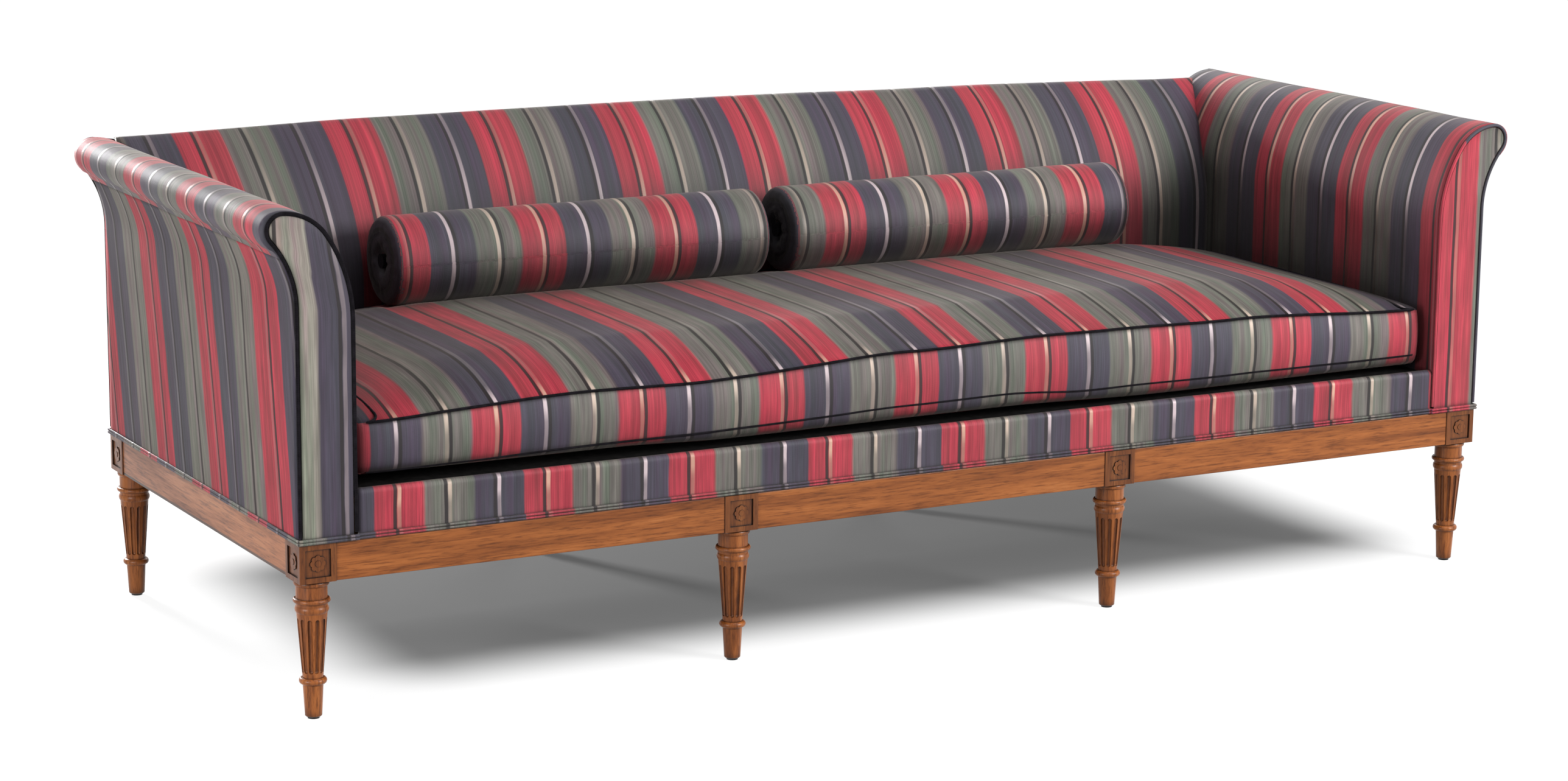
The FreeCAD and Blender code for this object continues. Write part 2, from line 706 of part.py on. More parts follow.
def arm_points(inset):
    """The outline's corners, an inset inside it, as (distance from the outer face, height)."""
    flare = "(flare_radius + %s)" % inset
    roll = "(roll_radius - %s)" % inset
    crown = "(crown_radius - %s)" % inset
    return {
        "wall": (inset, FLARE_START),
        "seam": ("%s * cos(seam_angle) - flare_radius" % flare,
                 "%s + %s * sin(seam_angle)" % (FLARE_START, flare)),
        "roll": ("%s - %s * cos(flare_angle)" % (ROLL_X, roll),
                 "%s - %s * sin(flare_angle)" % (ROLL_Z, roll)),
        "top": (ROLL_X, "top_height - %s" % inset),
        "crown": ("%s + %s * sin(crown_angle)" % (ROLL_X, crown),
                  "%s + %s * cos(crown_angle)" % (CROWN_Z, crown)),
        "inside": ("arm_thickness - %s" % inset, INNER_Z),
    }


def arm_radii(inset):
    return {
        "flare": "(flare_radius + %s)" % inset,
        "roll": "(roll_radius - %s)" % inset,
        "crown": "(crown_radius - %s)" % inset,
        "inside": "(%s - %s)" % (INNER_RADIUS, inset),
    }


def on_left(point):
    """Turn a distance in from the left arm's outer face into an X place."""
    return ("%s - %s" % (point[0], OUTER_X), point[1])


def on_right(point):
    return ("%s - (%s)" % (OUTER_X, point[0]), point[1])


def arm_outline(sketch, inset, bottom):
    """The whole closed outline of the left arm, flat at the bottom."""
    at = arm_points(inset)
    bend = arm_radii(inset)
    corners = [(inset, bottom), at["wall"], at["roll"], at["top"], at["crown"], at["inside"],
               ("arm_thickness - %s" % inset, bottom)]
    bends = {1: "-" + bend["flare"], 2: "+" + bend["roll"], 3: "+" + bend["crown"], 4: "+" + bend["inside"]}
    return trace(sketch, [on_left(corner) for corner in corners], bends)


POST_INSET = "(skin_thickness + soft_gap)"
FACING_INSET = "(2 * welt_radius + soft_gap)"
FACING_Y = "(%s + soft_gap + facing_thickness)" % END_Y
WELT_FOOT = "(%s + trim_height + soft_gap)" % RAIL_TOP


def make_arm_frame():
    """Front and rear posts, the rail under the roll and the base rail on the side rail."""
    front = new_body("arm_front_post_left")
    outline = arm_outline(sketch_on(front, "XZ_Plane", "%s - board_thickness" % END_Y), POST_INSET, RAIL_TOP)
    extrude(front, "Pad", outline, "board_thickness")
    keep(front, "arm_front_post_left")

    rear = new_body("arm_rear_post_left")
    outline = arm_outline(sketch_on(rear, "XZ_Plane", "0 - " + END_Y), POST_INSET, RAIL_TOP)
    extrude(rear, "Pad", outline, "upright_depth")
    keep(rear, "arm_rear_post_left")

    between = ("board_thickness - " + END_Y, UPRIGHT_FACE_Y)
    rail_top = "(top_height - skin_thickness - arm_rail_drop)"
    rail_x = "(%s + arm_rail_inset - %s)" % (ROLL_X, OUTER_X)
    top_rail = box(rail_x, rail_x + " + arm_rail_width", *between, rail_top + " - arm_rail_height", rail_top)
    keep(top_rail, "arm_top_rail_left")

    base_x = "(%s - %s)" % (POST_INSET, OUTER_X)
    base = box(base_x, base_x + " + base_rail_width", *between, RAIL_TOP, SEAT_BOARD_TOP + " + strap_thickness")
    keep(base, "arm_base_rail_left")
    for piece, name in ((front, "arm_front_post"), (rear, "arm_rear_post"),
                        (top_rail, "arm_top_rail"), (base, "arm_base_rail")):
        mirror(piece, name + "_right")


def make_arm_pad():
    """Padding and cover from the seat, up the inside, over the crown and round the roll."""
    body = new_body("arm_pad_left")
    outer = arm_points("0")
    inner = arm_points("skin_thickness")
    outside = arm_radii("0")
    within = arm_radii("skin_thickness")
    corners = [
        outer["seam"], outer["roll"], outer["top"], outer["crown"], outer["inside"],
        ("arm_thickness", DECK_BOTTOM), ("arm_thickness - skin_thickness", DECK_BOTTOM),
        inner["inside"], inner["crown"], inner["top"], inner["roll"], inner["seam"],
    ]
    bends = {
        0: "-" + outside["flare"], 1: "+" + outside["roll"],
        2: "+" + outside["crown"], 3: "+" + outside["inside"],
        7: "-" + within["inside"], 8: "-" + within["crown"],
        9: "-" + within["roll"], 10: "+" + within["flare"],
    }
    section = trace(sketch_on(body, "XZ_Plane", "0 - " + END_Y), [on_left(corner) for corner in corners], bends)
    extrude(body, "Pad", section, "2 * " + END_Y)
    notch = sketch_on(body, "YZ_Plane", "0 - %s + soft_gap" % ARM_INNER_X)
    trace_box(notch, "%s - strap_thickness - soft_gap" % UPRIGHT_FACE_Y, END_Y + " + soft_gap",
              DECK_BOTTOM + " - soft_gap", "top_height - back_skin")
    extrude(body, "Pocket", notch, "arm_thickness - %s + soft_gap" % POST_INSET)
    keep(body, "arm_pad_left")
    mirror(body, "arm_pad_right")


def make_arm_outside():
    """The outside panel, flat up to the flare and hollow under the roll."""
    body = new_body("arm_outside_left")
    outer = arm_points("0")
    inner = arm_points("skin_thickness")
    floor = RAIL_TOP + " + soft_gap"
    corners = [("0", floor), outer["wall"], outer["seam"],
               inner["seam"], inner["wall"], ("skin_thickness", floor)]
    bends = {1: "-" + arm_radii("0")["flare"], 3: "+" + arm_radii("skin_thickness")["flare"]}
    section = trace(sketch_on(body, "XZ_Plane", "0 - " + END_Y), [on_left(corner) for corner in corners], bends)
    extrude(body, "Pad", section, "2 * " + END_Y)
    keep(body, "arm_outside_left")
    mirror(body, "arm_outside_right")


def make_arm_facing():
    """The flat front of the arm, with a welt round it."""
    body = new_body("arm_facing_left")
    sketch = sketch_on(body, "XZ_Plane", END_Y + " + soft_gap")
    arm_outline(sketch, FACING_INSET, RAIL_TOP + " + soft_gap")
    extrude(body, "Pad", sketch, "facing_thickness")
    keep(body, "arm_facing_left")
    mirror(body, "arm_facing_right")

    welt = new_body("arm_welt_left")
    level = "(%s + soft_gap + welt_radius)" % END_Y
    foot = WELT_FOOT
    at = arm_points("welt_radius")
    bend = arm_radii("welt_radius")
    line = [("welt_radius", foot), at["wall"], at["roll"], at["top"], at["crown"], at["inside"],
            ("arm_thickness - welt_radius", foot)]
    corners = [on_left(point) for point in line]
    bends = {1: "-" + bend["flare"], 2: "+" + bend["roll"], 3: "+" + bend["crown"], 4: "+" + bend["inside"]}
    path = trace(sketch_on(welt, "XZ_Plane", level), corners, bends, closed=False)
    cord = trace_circle(sketch_on(welt, "XY_Plane", foot), (corners[0][0], "0 - " + level), "welt_radius")
    pipe(welt, cord, path)
    keep(welt, "arm_welt_left")
    mirror(welt, "arm_welt_right")


def pipe(body, profile, path):
    feature = body.newObject("PartDesign::AdditivePipe", body.Name + "_pipe")
    feature.Profile = profile
    feature.Spine = path
    return feature


# Back

BACK_RUN = "(back_depth - back_top_depth)"
BACK_RADIUS = "((%s ^ 2 + back_curve_rise ^ 2) / (2 * %s))" % (BACK_RUN, BACK_RUN)
BACK_CURVE_START = "(top_height - back_curve_rise)"
PAD_REAR_Y = "(%s - strap_thickness - soft_gap)" % UPRIGHT_FACE_Y
BEVEL_TOP_Y = "(%s - top_rail_land)" % END_Y


def make_back_pad():
    """The stuffed inside back: upright at the seat, then one easy curve up to the top edge."""
    body = new_body("back_pad")
    half = "(%s - skin_thickness)" % OUTER_X
    under = "(top_height - back_skin)"
    corners = [
        (BACK_FACE_Y, DECK_BOTTOM), (BACK_FACE_Y, BACK_CURVE_START),
        (HALF_DEPTH + " - back_top_depth", "top_height"), (END_Y, "top_height"),
        (END_Y, under), (BEVEL_TOP_Y, under),
        (PAD_REAR_Y, under + " - top_rail_bevel"), (PAD_REAR_Y, DECK_BOTTOM),
    ]
    section = trace(sketch_on(body, "YZ_Plane", "0 - " + half), corners, {1: "+" + BACK_RADIUS})
    extrude(body, "Pad", section, "2 * " + half)
    at = arm_points("(0 - soft_gap)")
    bend = arm_radii("(0 - soft_gap)")
    below = DECK_BOTTOM + " - skin_thickness"
    bounds = [at["top"], at["crown"], at["inside"], ("arm_thickness + soft_gap", below), (ROLL_X, below)]
    for place, side in ((on_left, "+"), (on_right, "-")):
        cut = sketch_on(body, "XZ_Plane", "skin_thickness - " + BACK_FACE_Y)
        trace(cut, [place(bound) for bound in bounds], {0: side + bend["crown"], 1: side + bend["inside"]})
        extrude(body, "Pocket", cut, "back_depth + skin_thickness")
    keep(body, "back_pad")


def make_back_frame():
    """Two uprights on the inner leg blocks, a bevelled top rail and lower rails between."""
    for name, side in (("left", -1), ("right", 1)):
        middle = "%d * leg_spacing / 2" % side
        upright = box("%s - %s" % (middle, UPRIGHT_HALF), "%s + %s" % (middle, UPRIGHT_HALF),
                      UPRIGHT_FACE_Y, END_Y, RAIL_TOP, TOP_RAIL_BOTTOM)
        keep(upright, "back_upright_" + name)

    rail = new_body("back_top_rail")
    high = "(top_height - back_skin - 2 * soft_gap)"
    front = UPRIGHT_FACE_Y
    steep = "(top_rail_bevel / (%s - %s))" % (BEVEL_TOP_Y, PAD_REAR_Y)
    shoulder = "%s - (%s - %s) * %s" % (high, BEVEL_TOP_Y, front, steep)
    corners = [(front, TOP_RAIL_BOTTOM), (front, shoulder), (BEVEL_TOP_Y, high), (END_Y, high),
               (END_Y, TOP_RAIL_BOTTOM)]
    section = trace(sketch_on(rail, "YZ_Plane", "0 - " + POST_INNER_X), corners)
    extrude(rail, "Pad", section, "2 * " + POST_INNER_X)
    keep(rail, "back_top_rail")

    lower_top = LOWER_RAIL_BOTTOM + " + lower_rail_height"
    group([box(low, high_x, UPRIGHT_FACE_Y, END_Y, LOWER_RAIL_BOTTOM, lower_top)
           for low, high_x in BAYS], "back_lower_rails")


def make_back_outside():
    """One flat panel over the whole back and the ends of the arm rolls, and the welt round it."""
    def both_ends(inset, bottom):
        at = arm_points(inset)
        bend = arm_radii(inset)
        half = [(inset, bottom), at["wall"], at["roll"], at["top"]]
        corners = [on_left(point) for point in half] + [on_right(point) for point in reversed(half)]
        bends = {1: "-" + bend["flare"], 2: "+" + bend["roll"], 4: "+" + bend["roll"], 5: "-" + bend["flare"]}
        return corners, bends

    foot = RAIL_TOP + " + soft_gap"
    panel = new_body("back_outside")
    sketch = sketch_on(panel, "XZ_Plane", "0 - " + FACING_Y)
    trace(sketch, *both_ends(FACING_INSET, foot))
    extrude(panel, "Pad", sketch, "facing_thickness")
    keep(panel, "back_outside")

    welt = new_body("back_welt")
    level = "(%s + soft_gap + welt_radius)" % END_Y
    corners, bends = both_ends("welt_radius", WELT_FOOT)
    path = trace(sketch_on(welt, "XZ_Plane", "0 - " + level), corners, bends, closed=False)
    cord = trace_circle(sketch_on(welt, "XY_Plane", WELT_FOOT), (corners[0][0], level), "welt_radius")
    pipe(welt, cord, path)
    keep(welt, "back_welt")


# Seat deck, trim, cushion and bolsters

def make_seat_deck():
    """A thin stuffed deck over the webbing that turns down over the front board as a border."""
    body = new_body("seat_deck")
    half = "(%s - soft_gap)" % ARM_INNER_X
    foot = RAIL_TOP + " + soft_gap"
    inner = DECK_FRONT_Y + " + deck_skin"
    rear = BACK_FACE_Y + " - soft_gap"
    corners = [
        (DECK_FRONT_Y, foot), (DECK_FRONT_Y, DECK_TOP + " - deck_nose_radius"),
        (DECK_FRONT_Y + " + deck_nose_radius", DECK_TOP), (rear, DECK_TOP), (rear, DECK_BOTTOM),
        (inner, DECK_BOTTOM), (inner, foot),
    ]
    section = trace(sketch_on(body, "YZ_Plane", "0 - " + half), corners, {1: "+deck_nose_radius"})
    extrude(body, "Pad", section, "2 * " + half)
    keep(body, "seat_deck")


def make_trim():
    """Narrow trim that covers the cloth's edge all along the wood."""
    top = RAIL_TOP + " + trim_height"
    seat_end = "(%s - soft_gap)" % ARM_INNER_X
    side = "(%s + soft_gap)" % OUTER_X
    side_out = "(%s + trim_thickness)" % side
    border = "(0 - %s + soft_gap)" % DECK_FRONT_Y
    facing = "(%s + soft_gap)" % FACING_Y
    facing_out = "(%s + trim_thickness)" % facing
    plans = [
        ("0 - " + seat_end, seat_end, "0 - %s - trim_thickness" % border, "0 - " + border),
        ("0 - " + side_out, "0 - " + ARM_INNER_X, "0 - " + facing_out, "0 - " + facing),
        (ARM_INNER_X, side_out, "0 - " + facing_out, "0 - " + facing),
        ("0 - " + side_out, "0 - " + side, "0 - " + FACING_Y, FACING_Y),
        (side, side_out, "0 - " + FACING_Y, FACING_Y),
        ("0 - " + side_out, side_out, facing, facing_out),
    ]
    group([box(*plan, RAIL_TOP, top) for plan in plans], "rail_trim")


CUSHION_HALF = "(%s - cushion_side_gap)" % ARM_INNER_X
CUSHION_BOTTOM = "(%s + soft_gap)" % DECK_TOP
CUSHION_FRONT_Y = "(cushion_setback - %s)" % HALF_DEPTH
CUSHION_BACK_Y = "(%s - cushion_back_gap)" % BACK_FACE_Y
PLATEAU_FRONT_Y = "(%s + cushion_front_slope)" % CUSHION_FRONT_Y
PLATEAU_BACK_Y = "(%s - cushion_back_slope)" % CUSHION_BACK_Y


def sagitta_radius(first, last, rise):
    """Radius of the arc between two corners that rises a given way above its chord."""
    run = "(%s - (%s))" % (last[0], first[0])
    climb = "(%s - (%s))" % (last[1], first[1])
    return "(((%s ^ 2 + %s ^ 2) / 4 + %s ^ 2) / (2 * %s))" % (run, climb, rise, rise)


def cushion_section(body, place, share):
    """The cushion's section at a place along it; share runs from 0 at an end to 1 in the middle."""
    def ease(end, middle):
        return "(%s + (%s - %s) * %g)" % (end, middle, end, share)
    front_height = ease("cushion_end_height", "cushion_front_height")
    back_height = ease("cushion_end_height", "cushion_back_height")
    plateau = ease("cushion_end_plateau", "cushion_plateau")
    rear_plateau = ease("cushion_end_plateau", "cushion_rear_plateau")
    crown = ease("end_bulge", "cushion_crown")
    slope = ease("end_bulge", "slope_bulge")
    draw = ease("0", "cushion_draw")
    front = "(%s + boxing_bulge + %s)" % (CUSHION_FRONT_Y, draw)
    back = "(%s - boxing_bulge - %s)" % (CUSHION_BACK_Y, draw)
    corners = [
        (front, CUSHION_BOTTOM), (front, "%s + %s" % (CUSHION_BOTTOM, front_height)),
        (PLATEAU_FRONT_Y, "%s + %s" % (CUSHION_BOTTOM, plateau)),
        (PLATEAU_BACK_Y, "%s + %s" % (CUSHION_BOTTOM, rear_plateau)),
        (back, "%s + %s" % (CUSHION_BOTTOM, back_height)), (back, CUSHION_BOTTOM),
    ]
    rises = ("boxing_bulge", slope, crown, "(%s / 2)" % slope, "boxing_bulge")
    bends = {index: "+" + sagitta_radius(corners[index], corners[index + 1], rise)
             for index, rise in enumerate(rises)}
    return trace(sketch_on(body, "YZ_Plane", place), corners, bends)


def make_seat_cushion():
    """A long box cushion: crowned top, swelling boxing, front and back drawn in between the corners."""
    body = new_body("seat_cushion")
    reach = "(%s - cushion_shoulder)" % CUSHION_HALF
    extrude(body, "Pad", cushion_section(body, "0 - " + reach, 1), "2 * " + reach)
    for side in (-1, 1):
        sections = []
        for step in (0, 1 / 3, 2 / 3, 1):
            place = "%d * (%s + cushion_shoulder * %.6f)" % (side, reach, step)
            sections.append(cushion_section(body, place, 1 - step ** 2))
        loft = body.newObject("PartDesign::AdditiveLoft", "seat_cushion_end")
        loft.Profile = sections[0]
        loft.Sections = sections[1:]
    keep(body, "seat_cushion")


def make_bolsters():
    """Two round bolsters on the cushion, close to the back, with a sunk button in each end."""
    half = "(bolster_length / 2)"
    seat_y = "(%s - bolster_radius - bolster_back_gap)" % BACK_FACE_Y
    share = "((%s - %s) / (%s - %s))" % (seat_y, PLATEAU_FRONT_Y, PLATEAU_BACK_Y, PLATEAU_FRONT_Y)
    slant = "(cushion_plateau + (cushion_rear_plateau - cushion_plateau) * %s)" % share
    seat_z = "(%s + %s + 4 * cushion_crown * %s * (1 - %s))" % (CUSHION_BOTTOM, slant, share, share)
    rim = "bolster_radius - bolster_swell"
    floor = half + " - bolster_dimple"
    for name, side in (("left", -1), ("right", 1)):
        body = new_body("bolster_" + name)
        profile = [
            ("0 - (%s)" % floor, "0"), ("0 - (%s)" % floor, "button_radius + soft_gap"),
            ("0 - " + half, rim + " - bolster_corner"), ("bolster_corner - " + half, rim),
            (half + " - bolster_corner", rim), (half, rim + " - bolster_corner"),
            (floor, "button_radius + soft_gap"), (floor, "0"),
        ]
        swell = sagitta_radius(profile[3], profile[4], "bolster_swell")
        bends = {2: "+bolster_corner", 3: "+" + swell, 4: "+bolster_corner"}
        revolve(body, trace(sketch_on(body, "XZ_Plane"), profile, bends), "H_Axis")
        middle = "(bolster_shift + %d * (bolster_gap / 2 + %s))" % (side, half)
        height = "(%s + bolster_radius + bolster_rest_gap)" % seat_z
        for axis, place in zip("xyz", (middle, seat_y, height)):
            bind(body, "Placement.Base." + axis, place)
        keep(body, "bolster_" + name)

        buttons = []
        for end in (-1, 1):
            button = DOC.addObject("Part::Cylinder", "bolster_button")
            bind(button, "Radius", "button_radius")
            bind(button, "Height", "button_height")
            button.Placement = FreeCAD.Placement(
                FreeCAD.Vector(), FreeCAD.Rotation(FreeCAD.Vector(0, 0, 1), FreeCAD.Vector(end, 0, 0)))
            place_x = "%s + %d * (%s + soft_gap)" % (middle, end, floor)
            for axis, place in zip("xyz", (place_x, seat_y, height)):
                bind(button, "Placement.Base." + axis, place)
            buttons.append(button)
        group(buttons, "bolster_buttons_" + name)


def check_and_write():
    DOC.recompute()
    for thing in DOC.Objects:
        bad = {"Invalid", "Error"} & set(thing.State)
        if bad:
            raise RuntimeError("%s did not build: %s" % (thing.Label, ", ".join(sorted(bad))))
    os.makedirs("parts", exist_ok=True)
    for node in NODES:
        if node.Shape.isNull() or not node.Shape.isValid() or not node.Shape.Solids:
            raise RuntimeError(node.Label + " has no sound solid")
    for node in NODES:
        node.Shape.exportStep("parts/%s.step" % node.Label)


fill_sheet()
make_legs()
make_glides()
make_cross_rails()
make_side_rails()
make_stretchers()
make_corner_braces()
make_brace_screws()
make_seat_boards()
make_webbing()
make_dust_cover()
make_arm_frame()
make_arm_pad()
make_arm_outside()
make_arm_facing()
make_back_pad()
make_back_frame()
make_back_outside()
make_seat_deck()
make_trim()
make_seat_cushion()
make_bolsters()
check_and_write()
print(len(NODES), "nodes")
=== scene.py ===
import math

import bmesh
import bpy
from mathutils import Matrix, Vector, noise


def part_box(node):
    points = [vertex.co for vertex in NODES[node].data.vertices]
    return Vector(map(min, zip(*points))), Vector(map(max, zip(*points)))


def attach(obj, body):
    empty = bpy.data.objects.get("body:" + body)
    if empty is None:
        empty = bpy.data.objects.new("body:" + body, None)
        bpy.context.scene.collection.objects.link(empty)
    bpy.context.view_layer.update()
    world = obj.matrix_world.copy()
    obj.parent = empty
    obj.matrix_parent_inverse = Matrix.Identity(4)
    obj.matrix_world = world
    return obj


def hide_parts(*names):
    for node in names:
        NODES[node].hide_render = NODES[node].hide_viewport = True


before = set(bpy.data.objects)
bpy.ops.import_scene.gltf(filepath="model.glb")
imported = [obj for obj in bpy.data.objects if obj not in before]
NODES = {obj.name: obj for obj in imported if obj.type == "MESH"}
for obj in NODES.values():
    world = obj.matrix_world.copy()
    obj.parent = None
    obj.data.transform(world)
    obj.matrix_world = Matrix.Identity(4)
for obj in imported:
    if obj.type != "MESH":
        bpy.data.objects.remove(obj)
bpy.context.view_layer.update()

# Outline of the arm, u inwards from the outside wall, z up
SIDES = {"left": -1, "right": 1}
OUTER_X = 1.079
ARM_THICKNESS = 0.093
END_Y = 0.419
DECK_BOTTOM = 0.3373
RAIL_TOP = 0.2703
TRIM_TOP = 0.2823
FLARE_U, FLARE_Z = -0.150, 0.62005
ROLL_U, ROLL_Z = -0.01604, 0.7365
CROWN_Z, CROWN_RADIUS = 0.680, 0.084
INSIDE_U, INSIDE_Z, INSIDE_RADIUS = -0.13746, 0.5981, 0.23046
FLARE_ANGLE, CROWN_ANGLE, SEAM_ANGLE = 41.0, 56.0, 30.0
ROLL_ANGLE = 90.0 + FLARE_ANGLE
INSIDE_ANGLE = 90.0 - CROWN_ANGLE

# Inside back, deck and loose pieces
BACK_HALF, BACK_REACH = 0.986, 1.060
BACK_FACE_Y, BACK_TURN_Z = 0.256, 0.520
BACK_CENTRE_Y, BACK_TOP_Y, BACK_TOP_Z = 0.52784, 0.408, 0.764
SEAT_END_X = 0.9857
DECK_FRONT_Y, NOSE_TOP, DECK_NOSE = -0.421, 0.3455, 0.0085
CUSHION_END_X = 0.983
CUSHION_FRONT_Y, CUSHION_REAR_Y = -0.399, 0.253
CUSHION_FOOT = 0.3545
BOLSTER_Y, BOLSTER_Z, BOLSTER_RADIUS, BOLSTER_LENGTH = 0.177, 0.5685, 0.078, 0.690
BOLSTER_MIDDLES = {"left": -0.355, "right": 0.373}
WELT_RADIUS = 0.0026

# Walls of the covers
PAD_WALL, PANEL_WALL, DECK_WALL = 0.014, 0.012, 0.0012

# Woven stripes, from one satin line to the next
STRIPE_PITCH = 0.0809


def srgb(red, green, blue):
    """Turn a colour as the eye sees it into the shader's own scale."""
    parts = []
    for part in (red, green, blue):
        part = part / 255.0
        parts.append(part / 12.92 if part <= 0.04045 else ((part + 0.055) / 1.055) ** 2.4)
    return (*parts, 1.0)


# Modelling helpers

def rest():
    """Leave edit mode with nothing selected."""
    if bpy.context.object and bpy.context.object.mode != "OBJECT":
        bpy.ops.object.mode_set(mode="OBJECT")
    bpy.ops.object.select_all(action="DESELECT")


def call(piece, name):
    """Give a piece and its mesh one name."""
    piece.name = name
    piece.data.name = name


def hold(piece):
    """Make a piece the only selected and active one."""
    rest()
    bpy.context.view_layer.objects.active = piece
    piece.select_set(True)
    return piece


def shape(piece):
    """Open a piece in edit mode with nothing selected."""
    hold(piece)
    bpy.ops.object.mode_set(mode="EDIT")
    bpy.ops.mesh.select_mode(type="VERT")
    bpy.ops.mesh.select_all(action="DESELECT")


def pick(test):
    """Select the points of the open piece that pass a test of their place."""
    mesh = bmesh.from_edit_mesh(bpy.context.object.data)
    for point in mesh.verts:
        point.select_set(bool(test(point.co)))
    mesh.select_flush(True)
    bmesh.update_edit_mesh(bpy.context.object.data)


def pick_faces(test):
    """Select the faces of the open piece that pass a test of their middle and normal."""
    bpy.ops.mesh.select_mode(type="FACE")
    mesh = bmesh.from_edit_mesh(bpy.context.object.data)
    for face in mesh.faces:
        face.select_set(bool(test(face.calc_center_median(), face.normal)))
    bmesh.update_edit_mesh(bpy.context.object.data)


def pick_edges(test):
    """Select the edges of the open piece whose run from end to end passes a test."""
    bpy.ops.mesh.select_mode(type="EDGE")
    mesh = bmesh.from_edit_mesh(bpy.context.object.data)
    for edge in mesh.edges:
        edge.select_set(bool(test(edge.verts[1].co - edge.verts[0].co)))
    bmesh.update_edit_mesh(bpy.context.object.data)


def divide_long_edges(shortest, cuts):
    """Cut the long runs of the open path into shorter ones."""
    pick_edges(lambda run: run.length > shortest)
    bpy.ops.mesh.subdivide(number_cuts=cuts)
    bpy.ops.mesh.select_mode(type="VERT")


def pull(x=0.0, y=0.0, z=0.0):
    """Extrude what is selected along a straight line."""
    bpy.ops.mesh.extrude_region_move(TRANSFORM_OT_translate={"value": (x, y, z)})


def settle(piece, outward):
    """Merge doubles, turn the faces towards the outward side and smooth the shading."""
    shape(piece)
    bpy.ops.mesh.select_all(action="SELECT")
    bpy.ops.mesh.remove_doubles(threshold=0.00005)
    bpy.ops.mesh.normals_make_consistent(inside=False)
    mesh = bmesh.from_edit_mesh(piece.data)
    lean = 0.0
    for face in mesh.faces:
        lean += face.normal.dot(outward(face.calc_center_median())) * face.calc_area()
    if lean < 0:
        bpy.ops.mesh.flip_normals()
    rest()
    hold(piece)
    bpy.ops.object.shade_smooth_by_angle(angle=math.radians(50))


def thicken(piece, wall):
    """Give a cover its wall, inwards from the face that shows."""
    hold(piece)
    bpy.ops.object.modifier_add(type="SOLIDIFY")
    shell = piece.modifiers[-1]
    shell.thickness = wall
    shell.offset = -1.0
    bpy.ops.object.modifier_apply(modifier=shell.name)


def set_in_place(piece, scale=(1, 1, 1)):
    """Put a new primitive's size and place into its mesh."""
    piece.scale = scale
    hold(piece)
    bpy.ops.object.transform_apply(location=True, rotation=True, scale=True)


def add_wall(name, middle, size, parts, turn):
    """Add a flat grid of a given size, turned to stand where a cover begins."""
    rest()
    bpy.ops.mesh.primitive_grid_add(
        x_subdivisions=parts[0], y_subdivisions=parts[1], size=1.0, location=middle, rotation=turn)
    piece = bpy.context.object
    call(piece, name)
    set_in_place(piece, (size[0], size[1], 1.0))
    return piece


def add_point(name, place):
    """Start a path as a single selected point in edit mode."""
    rest()
    bpy.ops.mesh.primitive_plane_add(size=0.01, location=place)
    piece = bpy.context.object
    call(piece, name)
    set_in_place(piece)
    shape(piece)
    bpy.ops.mesh.select_all(action="SELECT")
    bpy.ops.mesh.merge(type="CENTER")
    return piece


def copy_piece(piece, name):
    """Copy a piece with a mesh of its own."""
    rest()
    twin = piece.copy()
    twin.data = piece.data.copy()
    call(twin, name)
    bpy.context.scene.collection.objects.link(twin)
    return twin


def cord_along(path, radius):
    """Turn a path of edges into a round cord."""
    hold(path)
    bpy.ops.object.convert(target="CURVE")
    line = bpy.context.object
    line.data.bevel_depth = radius
    line.data.bevel_resolution = 3
    line.data.use_fill_caps = True
    bpy.ops.object.convert(target="MESH")
    cord = bpy.context.object
    shape(cord)
    bpy.ops.mesh.select_all(action="SELECT")
    bpy.ops.mesh.remove_doubles(threshold=0.00002)
    bpy.ops.mesh.normals_make_consistent(inside=False)
    rest()
    hold(cord)
    bpy.ops.object.shade_smooth_by_angle(angle=math.radians(60))
    return cord


def join_pieces(pieces, name):
    """Join cords of one kind into one piece."""
    rest()
    for piece in pieces:
        piece.select_set(True)
    bpy.context.view_layer.objects.active = pieces[0]
    bpy.ops.object.join()
    joined = bpy.context.object
    call(joined, name)
    return joined


def ease(value):
    """Go from 0 to 1 with a soft start and a soft end."""
    value = min(max(value, 0.0), 1.0)
    return value * value * (3.0 - 2.0 * value)


def soften(piece, depth, scale, seed, weight=None):
    """Push the points in and out a little, as stuffing does under cloth."""
    ways = [way.vector.copy() for way in piece.data.vertex_normals]
    for point, way in zip(piece.data.vertices, ways):
        spot = point.co / scale + Vector((seed, seed * 0.7, -seed))
        amount = depth * noise.noise(spot)
        if weight:
            amount *= weight(point.co)
        point.co += way * amount
    piece.data.update()


def lay_cloth(piece, across, along, painted_line_sheen=None):
    """Store how the cloth lies: across the stripes, along them, and how much painted sheen its satin lines
    get.
    """
    cloth = piece.data.attributes.new("cloth", "FLOAT_VECTOR", "POINT")
    ways = [way.vector.copy() for way in piece.data.vertex_normals]
    for point, way in zip(piece.data.vertices, ways):
        sheen_at_point = painted_line_sheen(point.co, way) if painted_line_sheen else 1.0
        cloth.data[point.index].vector = (across(point.co), along(point.co), sheen_at_point)


# Finishes

def add(tree, kind, inputs=(), **settings):
    """Add a shader node, set it up, and link or set its inputs."""
    part = tree.nodes.new(kind)
    for key, value in settings.items():
        setattr(part, key, value)
    for slot, source in inputs:
        if isinstance(source, bpy.types.NodeSocket):
            tree.links.new(source, part.inputs[slot])
        else:
            part.inputs[slot].default_value = source
    return part


def calc(tree, operation, first, second=0.0):
    """One step of arithmetic between two values."""
    return add(tree, "ShaderNodeMath", [(0, first), (1, second)], operation=operation).outputs[0]


def ramp_between(tree, value, low, high, start=0.0, end=1.0):
    """Ease from a start to an end while a value goes from low to high."""
    part = add(tree, "ShaderNodeMapRange", [(0, value), (1, low), (2, high), (3, start), (4, end)])
    part.interpolation_type = "SMOOTHSTEP"
    return part.outputs[0]


